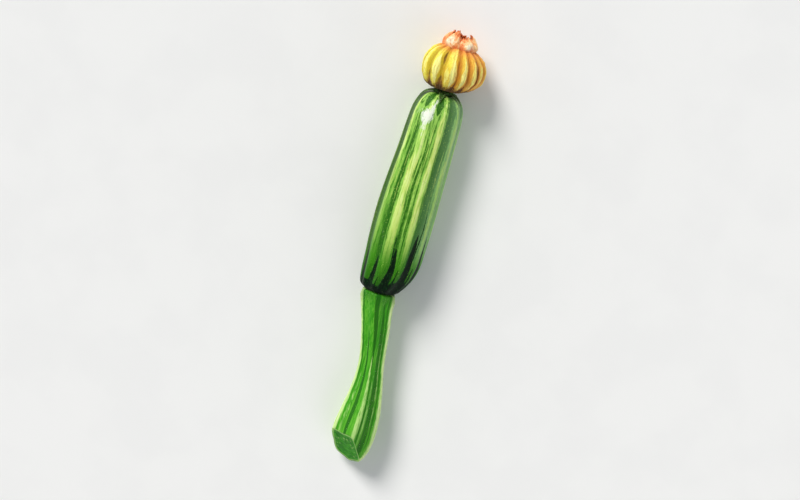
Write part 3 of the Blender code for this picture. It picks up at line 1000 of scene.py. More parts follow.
@dataclass
class Fruit:
    """The ridged fruit, which is let in a little where the stalk joins it."""

    length: float = 150 * MM
    radius: float = 21 * MM
    axis_height: float = 20 * MM
    ridges: int = 10
    ridge_turn: float = math.radians(19.5)
    ridge_depth: float = 0.05
    ridge_depth_at_stalk: float = 0.09
    deeper_reach: float = 0.3
    groove_depth: float = 0.15 * MM
    pole_shift: float = -4 * MM
    pole_reach: float = 26 * MM
    lumps: Swellings = Swellings((11, 11, 26), 0, 0.16 * MM)
    fibres: Swellings = Swellings((1.3, 1.3, 15), 5, 0.05 * MM)
    wander: Swellings = Swellings((16, 16, 38), 7, 0.12)
    sides: int = 360
    steps: int = 10
    outline: Rows = (
        (0.0, 1.0), (0.32, 1.0), (0.5, 0.995), (0.66, 0.98), (0.785, 0.95), (0.865, 0.9), (0.9, 0.81),
        (0.92, 0.71), (0.955, 0.6), (0.985, 0.48), (1.0, 0.37), (0.99, 0.26), (0.95, 0.165), (0.885, 0.1),
        (0.79, 0.052), (0.69, 0.02), (0.6, 0.004), (0.53, 0.0), (0.508, 0.005), (0.5, 0.02), (0.0, 0.021),
    )
    line: Table = Table(
        ((0.0, 0.0), (-0.7 * MM, 35 * MM), (-0.7 * MM, 70 * MM), (0.5 * MM, 110 * MM), (1.4 * MM, 150 * MM))
    )
    # The first streak, on ridge -1, is partly the skin's pale stripe and partly a painted highlight along the
    # body.
    pale_streaks: tuple[Streak, ...] = streaks(
        (-1.0, 0.3, 0.95, 0.04, 1.02), (-2.05, 0.2, 0.95, 0.06, 1.02), (0.0, 0.19, 0.95, 0.1, 1.04),
        (1.0, 0.22, 0.66, 0.16, 1.0), (-3.0, 0.22, 0.7, 0.12, 1.0), (2.0, 0.22, 0.7, 0.14, 1.0),
        (3.05, 0.28, 0.85, 0.1, 1.0), (4.0, 0.2, 0.7, 0.14, 1.0), (5.0, 0.3, 0.9, 0.08, 1.0),
        (-3.95, 0.24, 0.8, 0.12, 1.0), (-0.4, 0.07, 0.6, 0.3, 0.9), (0.62, 0.06, 0.5, 0.3, 0.8),
        (-1.5, 0.05, 0.4, 0.35, 0.8), (1.45, 0.07, 0.45, 0.3, 0.9), (-0.66, 0.06, 0.6, 0.5, 0.98),
        (-1.74, 0.05, 0.5, 0.2, 0.9), (0.22, 0.05, 0.5, 0.45, 0.85),
    )
    dark_streaks: tuple[Streak, ...] = streaks(
        (0.5, 0.3, 1.0), (-0.55, 0.09, 0.75, -0.2, 0.84), (-0.26, 0.05, 0.7, 0.05, 0.75),
        (-1.52, 0.2, 0.9, -0.2, 0.9, 0.4), (-2.55, 0.34, 1.0), (1.5, 0.2, 0.6), (2.5, 0.26, 0.8),
        (3.5, 0.2, 0.85), (4.5, 0.3, 0.9), (-3.5, 0.24, 0.85), (1.22, 0.06, 0.6, 0.2, 0.8),
        (0.24, 0.06, 0.7, 0.1, 0.9), (-0.8, 0.035, 0.6, 0.2, 0.7), (-1.2, 0.04, 0.6, 0.1, 0.5),
        (-1.9, 0.03, 0.6, 0.2, 0.7), (0.82, 0.08, 0.6, 0.1, 0.6), (-1.42, 0.36, 1.0, 0.93, 1.03, 0.05),
        (-0.42, 0.34, 1.0, 0.905, 1.01, 0.06), (0.55, 0.4, 1.0, 0.86, 1.03, 0.08),
        (-2.45, 0.3, 1.0, 0.88, 1.01, 0.05), (1.6, 0.3, 0.9, 0.9, 1.01, 0.05),
        (2.5, 0.3, 1.0, 0.92, 1.01, 0.04), (3.5, 0.34, 1.0, 0.9, 1.01, 0.05),
        (4.5, 0.3, 1.0, 0.92, 1.01, 0.04), (-3.5, 0.34, 1.0, 0.9, 1.01, 0.05),
    )
    teeth: tuple[Streak, ...] = streaks(
        (0.5, 0.42, 1.0, -0.5, 0.34, 0.34), (-0.5, 0.36, 1.0, -0.5, 0.25, 0.25),
        (-1.5, 0.32, 0.95, -0.5, 0.19, 0.2), (-2.5, 0.4, 0.95, -0.5, 0.22, 0.22),
        (1.5, 0.44, 1.0, -0.5, 0.32, 0.3), (2.5, 0.36, 1.0, -0.5, 0.2, 0.2),
        (3.5, 0.38, 1.0, -0.5, 0.26, 0.26), (4.5, 0.34, 1.0, -0.5, 0.19, 0.2),
        (-3.5, 0.36, 1.0, -0.5, 0.24, 0.24), (-0.1, 0.1, 0.9, -0.5, 0.15, 0.14),
        (-1.06, 0.08, 0.8, -0.5, 0.1, 0.09), (0.9, 0.1, 0.9, -0.5, 0.17, 0.14),
        (0.7, 0.06, 0.8, 0.1, 0.44, 0.2), (-0.64, 0.05, 0.8, 0.05, 0.34, 0.16),
        (0.5, 1.3, 1.0, -0.5, 0.085, 0.03), (-2.0, 2.0, 1.0, -0.5, 0.055, 0.03),
    )

    # The painted highlights on the shoulder: how solid each is, its ridge and width round the fruit, and its
    # middle and length along it.
    painted_highlights: tuple[tuple[float, float, float, float, float], ...] = (
        (1.0, -1.1, 0.55, 0.894, 0.034), (0.75, -0.8, 0.14, 0.945, 0.04), (0.55, -1.05, 0.2, 0.835, 0.05),
    )

    @property
    def dimple_radius(self) -> float:
        """The radius of the dimple that holds the stalk's head."""
        return 0.5 * self.radius

    @property
    def dimple_floor(self) -> float:
        """How deep that dimple is."""
        return 0.021 * self.length

    @property
    def flower_x(self) -> float:
        """How far the flower stands to +X of the fruit's axis."""
        return float(self.line.at(self.length))

    def form(self) -> Form:
        """The standing fruit.

        Returns:
            Its closed body.
        """
        outline = [(r * self.radius, h * self.length) for r, h in self.outline]
        radius, height, angle = rings(outline, self.steps, self.sides)
        along = height / self.length
        near_stalk = (1 - np.minimum(along / self.deeper_reach, 1.0)) ** 2
        extra = (self.ridge_depth_at_stalk - self.ridge_depth) * near_stalk
        beyond_dimple = np.clip((radius / self.dimple_radius - 1.05) * 4, 0.0, 1.0)
        above_floor = np.clip(1.9 - 2 * np.sin(angle), 0.0, 1.0)
        free = beyond_dimple * above_floor
        ridge = angle + math.pi / 2 - self.ridge_turn
        crest = wave(ridge, self.ridges)
        swell = radius * (1 + (self.ridge_depth + extra) * free * (crest**1.4 - MEAN_CREST))
        raw = standing(swell, angle, height)
        grooves = -self.groove_depth * (1 - crest) ** 4 * (1 - ease(along, 0.15, 0.4))
        calm = free * ease(along, 0.0, 0.05) * (1 - ease(along, 0.95, 0.99))
        swell = swell + calm * (self.lumps.at(raw) + self.fibres.at(raw) + grooves)
        to_pole = np.maximum(0.0, 1 - np.maximum(0.0, height - self.dimple_floor) / self.pole_reach) ** 2
        grid = standing(swell, angle, height)
        grid[..., 0] += self.line.at(height) + self.pole_shift * to_pole
        grid[..., 1] = np.minimum(grid[..., 1], self.axis_height)
        place = ridge / (2 * math.pi / self.ridges) + self.wander.at(raw)
        # painted highlights: pale shining patches on the shoulder, laid into the skin's colour
        frost = sum(
            solid * np.exp(-(((place - at) / wide) ** 2) - ((along - up) / tall) ** 2)
            for solid, at, wide, up, tall in self.painted_highlights
        )
        marks = {
            Mark.ALONG: along,
            Mark.SIDE: np.cos(angle),
            Mark.PALE: covered(self.pale_streaks, place, along, self.ridges),
            Mark.DARK: covered(self.dark_streaks, place, along, self.ridges),
            Mark.TOOTH: covered(self.teeth, place, along, self.ridges),
            Mark.PAINTED_HIGHLIGHT: frost,
        }
        return Form.turned(grid, marks)

    def laying(self, form: Form) -> Matrix:
        """How the courgette lies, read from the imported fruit's box.

        Args:
            form: the standing fruit.

        Returns:
            What moves a standing form to where it lies.
        """
        low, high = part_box("fruit")
        own_low, own_high = form.points.min(axis=0), form.points.max(axis=0)
        x = (low.x + high.x - own_low[0] - own_high[0]) / 2
        place = Matrix.Translation((x, low.y - own_low[2], low.z + self.axis_height))
        return place @ Matrix.Rotation(-math.pi / 2, 4, "X")

    def build(self) -> Matrix:
        """Adds the fruit.

        Returns:
            What moves a standing form to where it lies.
        """
        form = self.form()
        laying = self.laying(form)
        show_standing({"fruit_skin": (form, SkinFinish().material())}, laying, "fruit")
        return laying


@dataclass
class Stalk:
    """The five-angled stalk, cut off across its swollen foot."""

    length: float = 132 * MM
    ribs: int = 5
    rib_depth: float = 0.2
    edge_height: float = 0.3 * MM
    fine_height: float = 0.25 * MM
    hollow_depth: float = 0.9 * MM
    hollow_width: float = 0.16
    wander_height: float = 0.15 * MM
    inset: float = 0.2 * MM
    fibres: Swellings = Swellings((0.8, 0.8, 18), 8, 0.07 * MM)
    folds: Swellings = Swellings((2.5, 2.5, 12), 12, 0.3 * MM)
    wander: Swellings = Swellings((6, 6, 40), 3)
    droop: float = 2 * MM
    collar: float = 6 * MM
    gap: float = 0.35 * MM
    sides: int = 360
    steps: int = 10
    head: float = 9.3 * MM
    outline: Rows = (
        (12.0, 1.6), (12.0, 5), (10.8, 14), (9.4, 34), (8.8, 52), (9.8, 65), (11.6, 78), (13.4, 90),
        (14.6, 103), (14.6, 114), (13.2, 122), (10.4, 128), (5.5, 132), (0.0, 133),
    )
    line: Rows = (
        (-4.0, 0), (-2.6, 11), (0.6, 26), (4.0, 46), (6.5, 66), (7.3, 84), (6.7, 103), (4.9, 132),
    )
    cut_point: tuple[float, float, float] = (-2 * MM, 0.0, -121 * MM)
    cut_facing: tuple[float, float, float] = (-0.45, -0.62, -0.64)
    cut_rings: int = 16
    cut_merge: float = 0.02 * MM
    pale_streaks: tuple[Streak, ...] = streaks(
        (1.02, 0.23, 1.0), (-1.0, 0.17, 0.95), (0.02, 0.13, 0.72, 0.34, 1.1, 0.35),
        (0.27, 0.06, 0.5, 0.42, 0.9), (2.0, 0.2, 0.95), (-2.0, 0.2, 0.95),
        (-0.66, 0.14, 0.42, 0.42, 1.0, 0.3), (0.62, 0.05, 0.45, 0.2, 0.8), (1.5, 0.06, 0.5, 0.3, 1.0),
        (-1.5, 0.06, 0.5, 0.1, 0.9), (2.5, 0.08, 0.5, 0.2, 1.0),
    )
    dark_streaks: tuple[Streak, ...] = streaks(
        (0.05, 0.13, 0.9, -0.3, 0.46, 0.3), (-0.36, 0.12, 0.95, 0.2, 1.05, 0.3),
        (0.5, 0.2, 0.75, 0.05, 1.1), (-0.8, 0.06, 0.7, -0.2, 0.6), (0.17, 0.04, 0.8, 0.4, 0.95),
        (0.72, 0.06, 0.7, -0.2, 0.9), (1.5, 0.25, 0.9), (-1.5, 0.25, 0.85), (2.5, 0.3, 0.9),
    )

    @property
    def bend(self) -> Table:
        """How far its centre line lies to +X of the fruit's axis, at distances below the fruit."""
        return Table(tuple((x * MM, below * MM) for x, below in self.line))

    def form(self, dimple_floor: float) -> Form:
        """The standing stalk, not yet cut.

        Args:
            dimple_floor: how deep the fruit's dimple is.

        Returns:
            The closed body.
        """
        top, plug = dimple_floor - self.gap, self.head
        head = [(0.0, top), (0.6 * plug, top), (plug, top - 0.6 * MM), (plug, 0.2 * MM)]
        neck = [(1.12 * plug, -0.7 * MM)]
        outline = head + neck + [(r * MM, -d * MM) for r, d in self.outline]
        radius, height, angle = rings(outline, self.steps, self.sides)
        below = np.maximum(0.0, -height)
        along = below / self.length
        free = np.minimum(1.0, below / self.collar)
        turn = angle + math.pi / 2
        rib, fine = wave(turn, self.ribs), wave(turn, 3 * self.ribs)
        crest = rib**1.3
        swell = radius * (1 + free * self.rib_depth * (crest - MEAN_CREST))
        raw = standing(swell, angle, height)
        wander = self.wander.at(raw)
        folds = self.folds.at(raw) * (1 - ease(below, 4 * MM, 24 * MM))
        place = turn / (2 * math.pi / self.ribs) + 0.05 * wander
        hollow = np.exp(-((place / self.hollow_width) ** 2)) * (1 - ease(along, 0.3, 0.5))
        edge = self.edge_height * ease(crest, 0.8, 1.0) * (1 - hollow) - self.hollow_depth * hollow
        relief = edge + self.fine_height * fine * (1 - rib) ** 0.5 + self.fibres.at(raw) + folds
        relief = relief + self.wander_height * wander - self.inset
        grid = standing(swell + free * ease(radius, 3 * MM, 8 * MM) * relief, angle, height)
        grid[..., 0] += self.bend.at(below)
        grid[..., 1] += self.droop * along**2
        marks = {
            Mark.ALONG: along,
            Mark.PALE: covered(self.pale_streaks, place, along, self.ribs),
            Mark.DARK: covered(self.dark_streaks, place, along, self.ribs),
            Mark.CUT: 0.0,
            Mark.CORE: 0.0,
        }
        return Form.turned(grid, marks)

    def cut(self, mesh: bpy.types.Mesh) -> None:
        """Cuts the foot off and closes it with rings of faces, a little sunk and uneven towards the middle.

        Args:
            mesh: the standing stalk.
        """
        work = bmesh.new()
        work.from_mesh(mesh)
        point = Vector(self.cut_point) + Vector((float(self.bend.at(-self.cut_point[2])), 0, 0))
        facing = Vector(self.cut_facing).normalized()
        everything = work.verts[:] + work.edges[:] + work.faces[:]
        bmesh.ops.bisect_plane(work, geom=everything, plane_co=point, plane_no=facing, clear_outer=True)
        bmesh.ops.remove_doubles(work, verts=[v for v in work.verts if v.is_boundary], dist=self.cut_merge)
        rim = self.in_order([e for e in work.edges if e.is_boundary])
        along, cut, core = (work.verts.layers.float[mark.value] for mark in (Mark.ALONG, Mark.CUT, Mark.CORE))
        middle = sum((v.co for v in rim), Vector()) / len(rim)
        ring = rim
        for step in range(1, self.cut_rings):
            share = (step / self.cut_rings) ** 0.8
            inner = []
            for outer in rim:
                place = outer.co.lerp(middle, share)
                rough = noise.noise(place / (1.6 * MM)) * 0.12 + noise.noise(place / (5 * MM)) * 0.3
                sunk = 0.2 + 0.4 * share - rough * min(1.0, 4 * share)
                vertex = work.verts.new(place - facing * sunk * MM)
                vertex[along], vertex[cut], vertex[core] = outer[along], 1.0, share
                inner.append(vertex)
            for a, b, c, d in zip(ring, ring[1:] + ring[:1], inner[1:] + inner[:1], inner):
                work.faces.new((a, b, c, d))
            ring = inner
        work.faces.new(ring)
        bmesh.ops.recalc_face_normals(work, faces=work.faces[:])
        work.to_mesh(mesh)
        work.free()

    @staticmethod
    def in_order(edges: list[bmesh.types.BMEdge]) -> list[bmesh.types.BMVert]:
        """The corners of a closed loop of edges.

        Args:
            edges: its edges, in any order.

        Returns:
            The corners, one after the other.
        """
        left, here = set(edges), edges[0].verts[0]
        loop = []
        while left:
            loop.append(here)
            edge = next(e for e in here.link_edges if e in left)
            left.discard(edge)
            here = edge.other_vert(here)
        return loop

    def build(self, laying: Matrix, dimple_floor: float) -> bpy.types.Object:
        """Adds the stalk.

        Args:
            laying: what moves a standing form to where it lies.
            dimple_floor: how deep the fruit's dimple is.

        Returns:
            The stalk.
        """
        mesh = self.form(dimple_floor).mesh("stalk_body")
        self.cut(mesh)
        mesh.transform(laying)
        return show("stalk_body", mesh, StalkFinish().material(), "stalk")


@dataclass
class Calyx:
    """The short ring that the flower grows from, with its narrow sepals."""

    radius: float = 7.4 * MM
    height: float = 2.4 * MM
    first_angle: float = math.radians(-24)
    width: float = 5.4 * MM
    thickness: float = 0.9 * MM
    midrib_width: float = 0.16
    midrib_height: float = 0.25 * MM
    channel_depth: float = 0.5 * MM
    ripple_height: float = 0.12 * MM
    gap: float = 0.35 * MM
    lobe_depth: float = 0.04
    fine_ribs: int = 30
    fine_depth: float = 0.012
    ring_outline: Rows = ((0.0, 1.0), (0.8, 1.0), (0.97, 0.75), (1.0, 0.35), (0.9, 0.0), (0.0, 0.0))
    ring_sides: int = 160
    ring_steps: int = 8
    steps: int = 12
    columns: int = 24
    rows: int = 60
    route: Rows = ((4.7, 1.7), (8.0, 1.6), (11.0, 0.7), (13.6, -0.9), (16.0, -3.6), (17.7, -7.6))
    sepals: int = 5
    # How far a sepal is turned from its even place at most, in radians, and how little of the route it covers
    # at least.
    spread: float = 0.12
    shortest: float = 0.82
    seed: int = 4

    def ring(self, fruit: Fruit) -> Form:
        """The standing ring.

        Args:
            fruit: the fruit that it stands on.

        Returns:
            A slightly lobed, finely ribbed body.
        """
        base = fruit.length + self.gap
        outline = [(r * self.radius, base + h * self.height) for r, h in self.ring_outline]
        radius, height, angle = rings(outline, self.ring_steps, self.ring_sides)
        lobe = wave(angle - self.first_angle, self.sepals)
        fine = wave(angle, self.fine_ribs)
        swell = radius * (1 + self.lobe_depth * (lobe - 0.5) + self.fine_depth * (fine - 0.5))
        grid = standing(swell, angle, np.clip(height, base, base + self.height))
        grid[..., 0] += fruit.flower_x
        return Form.turned(grid, {Mark.EDGE: 0.0, Mark.CREST: 0.5 * lobe})

    def sepal(self, fruit: Fruit, angle: float, reach: float) -> Form:
        """One standing sepal.

        Args:
            fruit: the fruit that it bends over.
            angle: the way that it points, round the axis.
            reach: how much of the route it covers.

        Returns:
            A channelled, pointed blade with a raised midrib.
        """
        line = smooth_line([(r * MM, h * MM) for r, h in self.route], self.steps)
        up = np.linspace(0, 1, self.rows)[:, None]
        across = np.linspace(-1, 1, self.columns)[None, :]
        place = up * reach * (len(line) - 1)
        out = np.interp(place, np.arange(len(line)), line[:, 0])
        over = np.interp(place, np.arange(len(line)), line[:, 1])
        side = across * self.width / 2 * (0.8 + 0.5 * up) * (1 - 0.97 * up**1.6)
        midrib = np.exp(-((across / self.midrib_width) ** 2)) * (1 - up)
        channel = self.channel_depth * (1 - across**2) * (1 - up) - self.midrib_height * midrib
        x = out * math.cos(angle) - side * math.sin(angle) + fruit.flower_x
        y = out * math.sin(angle) + side * math.cos(angle)
        ripple = self.ripple_height * np.sin(9 * up + angle) * np.abs(across) * up
        z = fruit.length + over - channel + ripple
        thickness = self.thickness * (1 - 0.6 * np.abs(across) ** 3) * (1 - 0.65 * up)
        marks = {Mark.EDGE: np.abs(across) + 0 * up, Mark.CREST: midrib}
        return Form.blade(np.stack([x, y, z], axis=-1), thickness, marks)

    def build(self, laying: Matrix, fruit: Fruit) -> list[bpy.types.Object]:
        """Adds the ring and its sepals.

        Args:
            laying: what moves a standing form to where it lies.
            fruit: the fruit that they grow from.

        Returns:
            The ring, and then the sepals.
        """
        material = CalyxFinish().material()
        forms = {"calyx_ring": (self.ring(fruit), material)}
        draw = random.Random(self.seed)
        for number in range(self.sepals):
            even = self.first_angle + 2 * math.pi * number / self.sepals
            angle = even + draw.uniform(-self.spread, self.spread)
            sepal = self.sepal(fruit, angle, draw.uniform(self.shortest, 1.0))
            forms[f"sepal_{number + 1}"] = (sepal, material)
        return show_standing(forms, laying, "calyx")


@dataclass
class Corolla:
    """The closed flower: a pleated bulb drawn in to a neck, with the petals' puffed tips above it."""

    radius: float = 22.3 * MM
    base: float = 153.1 * MM
    shift: float = 2 * MM
    lift: float = 0.9 * MM
    underside: float = 19.6 * MM
    pleats: int = 15
    pleat_depth: float = 0.095
    twist: float = 0.1
    petals: int = 5
    neck: float = 32 * MM
    lap_height: float = 0.8 * MM
    gather_height: float = 0.4 * MM
    crease_height: float = 0.45 * MM
    rib_height: float = 0.3 * MM
    midrib_height: float = 0.35 * MM
    midrib_width: float = 0.13
    inset: float = 0.3 * MM
    wander: Swellings = Swellings((7, 7, 14), 2)
    creases: Swellings = Swellings((1.5, 1.5, 9), 6)
    patches: Swellings = Swellings((3, 3, 6), 19)
    small: Swellings = Swellings((0.8, 0.8, 2.0), 11, 0.12 * MM)
    sides: int = 600
    steps: int = 9
    outline: Rows = (
        (0.0, 37.5), (0.08, 37.6), (0.16, 36.9), (0.24, 35.4), (0.31, 33.8), (0.4, 32.5), (0.54, 31.1),
        (0.73, 28.4), (0.89, 24.5), (0.98, 20), (1.0, 15.5), (0.97, 11.5), (0.89, 7.6), (0.77, 4.2),
        (0.62, 1.8), (0.45, 0.5), (0.25, 0.1), (0.0, 0.0),
    )
    # How far the pleats are turned from their even places, at angles round the axis, all in degrees.
    pleat_shifts: Rows = (
        (-4, -180), (-5, -156), (-2, -132), (0.5, -108), (9, -84), (6, -60), (6, -36), (4, 24), (0, 108),
        (-2, 156), (-4, 180),
    )
    tip_heights: tuple[float, ...] = (11.5 * MM, 12.5 * MM, 12 * MM, 13.5 * MM, 14.5 * MM)
    tip_seed: int = 11
    tip_first_angle: float = math.radians(-54)
    tip_base: float = 29 * MM
    tip_radius: float = 9 * MM
    tip_half_angle: float = math.radians(46)
    tip_puff: float = 3 * MM
    tip_tuck: float = 1.8 * MM
    tip_curl: float = 3.4 * MM
    tip_ruffle: float = 0.8 * MM
    tip_thickness: float = 0.6 * MM
    tip_thinning: float = 0.25 * MM
    tip_crumple: Swellings = Swellings((3.2, 3.2, 4.5), 3)
    tip_creases: Swellings = Swellings((1.3, 1.3, 2.0), 9)
    tip_columns: int = 120
    tip_rows: int = 80
    # The bulb's pale streaks are painted lens highlights on its pleats.
    pale_streaks: tuple[Streak, ...] = streaks(
        (-4.9, 0.42, 1.0, 0.16, 0.84, 0.4), (-3.8, 0.34, 1.0, 0.12, 0.78, 0.35),
        (-4.16, 0.2, 0.75, 0.2, 0.6, 0.2), (-2.98, 0.34, 0.95, 0.12, 0.84, 0.35),
        (-6.0, 0.24, 0.85, 0.25, 0.95, 0.3), (-1.98, 0.3, 0.85, 0.16, 0.84, 0.3),
        (-1.0, 0.28, 0.75, 0.2, 0.85, 0.3), (0.0, 0.3, 0.7, 0.2, 0.85, 0.3),
        (1.0, 0.2, 0.55, 0.3, 0.8, 0.3), (2.0, 0.34, 0.8, 0.15, 0.85, 0.3),
        (3.0, 0.24, 0.6, 0.2, 0.8, 0.3), (4.0, 0.3, 0.75, 0.2, 0.85, 0.3),
        (5.0, 0.24, 0.6, 0.25, 0.8, 0.3), (6.0, 0.34, 0.8, 0.15, 0.85, 0.3),
        (7.0, 0.26, 0.65, 0.2, 0.8, 0.3), (8.0, 0.3, 0.75, 0.2, 0.85, 0.3),
        (-3.86, 0.16, 0.75, 0.5, 1.1, 0.15),
    )
    dark_streaks: tuple[Streak, ...] = streaks(
        (-5.5, 0.08, 0.75, 0.2, 0.9), (-5.5, 0.24, 1.0, -0.3, 0.46, 0.3),
        (-4.5, 0.19, 1.0, 0.6, 0.9, 0.14), (-4.5, 0.36, 1.0, -0.3, 0.38, 0.25),
        (-4.5, 0.06, 0.65, 0.2, 0.8), (-3.5, 0.11, 0.85, 0.1, 0.85), (-3.5, 0.22, 1.0, -0.3, 0.3, 0.3),
        (-2.5, 0.09, 0.75, -0.1, 0.9), (-1.5, 0.13, 0.95, 0.0, 0.85), (-0.5, 0.12, 0.75, 0.0, 0.9),
        (-6.5, 0.1, 0.65, 0.1, 0.95), (-6.05, 0.05, 0.55, 0.4, 0.9), (-5.2, 0.04, 0.55, 0.2, 0.6),
        (-4.7, 0.05, 0.6, 0.5, 0.95), (-3.62, 0.04, 0.55, 0.3, 0.8), (-2.9, 0.04, 0.55, 0.3, 0.9),
        (-3.2, 0.04, 0.6, 0.1, 0.6), (-4.02, 0.05, 0.6, 0.1, 0.62), (0.5, 0.12, 0.85, -0.1, 0.8),
        (1.5, 0.1, 0.75, 0.1, 0.95), (2.5, 0.14, 0.9, -0.1, 0.75), (3.5, 0.1, 0.75, 0.0, 0.9),
        (4.5, 0.12, 0.85, -0.1, 0.8), (5.5, 0.12, 0.8, 0.1, 0.95), (6.5, 0.14, 0.9, -0.1, 0.75),
        (7.5, 0.11, 0.8, 0.0, 0.85),
    )

    def pressed(self, y: Array) -> Array:
        """How far under the axis a point ends up, because of the surface underneath.

        Args:
            y: how far it would be, which is negative above the axis.

        Returns:
            The same, softly limited.
        """
        free = 0.72 * self.underside
        room = self.underside - free
        return np.where(y <= free, y, free + room * np.tanh(np.maximum(y - free, 0) / room))

    def bulb(self, flower_x: float) -> Form:
        """The standing bulb.

        Args:
            flower_x: how far the flower stands to +X of the fruit's axis.

        Returns:
            Its closed body.
        """
        outline = [(share * self.radius, up * MM) for share, up in self.outline]
        radius, height, angle = rings(outline, self.steps, self.sides)
        along = height / self.neck
        uneven = 1 + 0.25 * np.sin(3 * angle + 1) + 0.2 * np.sin(7 * angle + 2)
        depth = self.pleat_depth * uneven * (0.75 + 0.7 * np.minimum(along, 1.1) ** 2)
        place = angle / (2 * math.pi) * self.pleats + 0 * along
        nearest = np.round(place)
        within = 2 * (place - nearest)
        pleat = 0.5 * wave(angle, self.pleats) + 0.5 * (1 - np.abs(within) ** 3)
        swell = radius * (1 + depth * (pleat - 0.5) + 0.03 * (wave(angle, self.petals) - 0.5))
        raw = standing(swell, angle, height)
        wander, creases = self.wander.at(raw), self.creases.at(raw)
        share = (place / self.pleats * self.petals + 0.42) % 1.0
        lap = share * (1 - ease(share, 0.96, 1.0)) - 0.5
        gathers = wave(angle + 0.1 * wander, 4 * self.pleats) * ease(np.abs(along - 0.45), 0.2, 0.5)
        ribs = wave(angle + 0.06 * wander, 5 * self.pleats) * (0.5 + self.patches.at(raw))
        middle = nearest % (self.pleats // self.petals) == 1
        midrib = np.exp(-((within / self.midrib_width) ** 2)) * middle
        relief = self.lap_height * lap + self.gather_height * gathers + self.crease_height * creases
        relief = relief + self.rib_height * (wander + ribs) + self.midrib_height * midrib + self.small.at(raw)
        swell = swell + ease(radius, 2 * MM, 9 * MM) * (relief - self.inset)
        moved = np.minimum(1.0, along * 3)
        shifts = Table(tuple((math.radians(shift), math.radians(at)) for shift, at in self.pleat_shifts))
        turned = angle + shifts.at((angle + math.pi) % (2 * math.pi) - math.pi) - self.twist * along
        grid = standing(swell, turned, self.base + height + 0.25 * MM * creases * ease(along, 0.9, 1.1))
        grid[..., 0] += flower_x + self.shift * moved
        grid[..., 1] = self.pressed(grid[..., 1] - self.lift * moved)
        marks = {
            Mark.CREST: np.clip(pleat + 0.1 * creases, 0, 1),
            Mark.PLACE: place,
            Mark.ALONG: along,
            Mark.SIDE: np.cos(turned),
            Mark.PALE: covered(self.pale_streaks, place + 0.1 * wander, along, self.pleats),
            Mark.DARK: covered(self.dark_streaks, place + 0.06 * wander, along, self.pleats),
        }
        return Form.turned(grid, marks)

    def tip(self, number: int, phase: float, flower_x: float) -> Form:
        """One petal's standing free tip.

        Args:
            number: which petal it is.
            phase: where its ruffle starts, in radians.
            flower_x: how far the flower stands to +X of the fruit's axis.

        Returns:
            A blade that puffs out, is tucked in at its sides and curls in above.
        """
        middle = self.tip_first_angle + 2 * math.pi * number / self.petals
        tall = self.tip_heights[number]
        across = np.linspace(-1, 1, self.tip_columns)[None, :]
        up = np.linspace(0, 1, self.tip_rows)[:, None]
        angle = middle + across * self.tip_half_angle * (1 - 0.15 * up)
        puff = self.tip_puff * np.sin(math.pi * np.minimum(1.0, 1.1 * up)) - self.tip_curl * up**3
        tuck = self.tip_tuck * (np.cos(math.pi / 2 * across) - 0.6)
        ruffle = self.tip_ruffle * up * np.sin(2.5 * math.pi * across + phase)
        out = self.tip_radius + (number % 2) * 0.5 * MM + puff + tuck + ruffle
        rise = tall * up * (1 - 0.4 * across**2) + self.tip_ruffle * up * np.sin(6 * across + 2 * phase)
        raw = standing(out, angle, rise)
        crumple, creases = self.tip_crumple.at(raw, number), self.tip_creases.at(raw, number)
        frill = up**3 * np.sin(7 * math.pi * across + 2 * phase + 2 * up)
        out = out + (0.8 * crumple * (0.4 + 0.6 * up) + 0.3 * creases + 0.4 * frill) * MM
        rise = rise + (0.5 * crumple * up + 0.3 * frill) * MM
        grid = standing(out, angle, self.base + self.tip_base + rise)
        grid[..., 0] += flower_x + self.shift
        grid[..., 1] = self.pressed(grid[..., 1] - self.lift)
        # painted highlight where the tip puffs out, kept as its pale mark
        puff_highlight = np.exp(-((across / 0.45) ** 2)) * np.exp(-(((up - 0.5) / 0.26) ** 2))
        marks = {
            Mark.CREST: np.clip(0.6 * np.cos(math.pi / 2 * across) + 0.8 * crumple + 0.3 * creases, 0, 1),
            Mark.PLACE: across + 0 * up,
            Mark.ALONG: up + 0 * across,
            Mark.PALE: puff_highlight,
            Mark.EDGE: np.maximum(np.abs(across) ** 5, up**6 + 0 * across),
        }
        return Form.blade(grid, self.tip_thickness - self.tip_thinning * up**2 + 0 * across, marks)

    def build(self, laying: Matrix, fruit: Fruit) -> None:
        """Adds the bulb and the tips.

        Args:
            laying: what moves a standing form to where it lies.
            fruit: the fruit that they grow from.
        """
        forms = {"flower_bulb": (self.bulb(fruit.flower_x), PetalFinish().material())}
        material = TipFinish().material()
        draw = random.Random(self.tip_seed)
        for number in range(self.petals):
            tip = self.tip(number, draw.uniform(0, 2 * math.pi), fruit.flower_x)
            forms[f"petal_tip_{number + 1}"] = (tip, material)
        show_standing(forms, laying, "corolla")


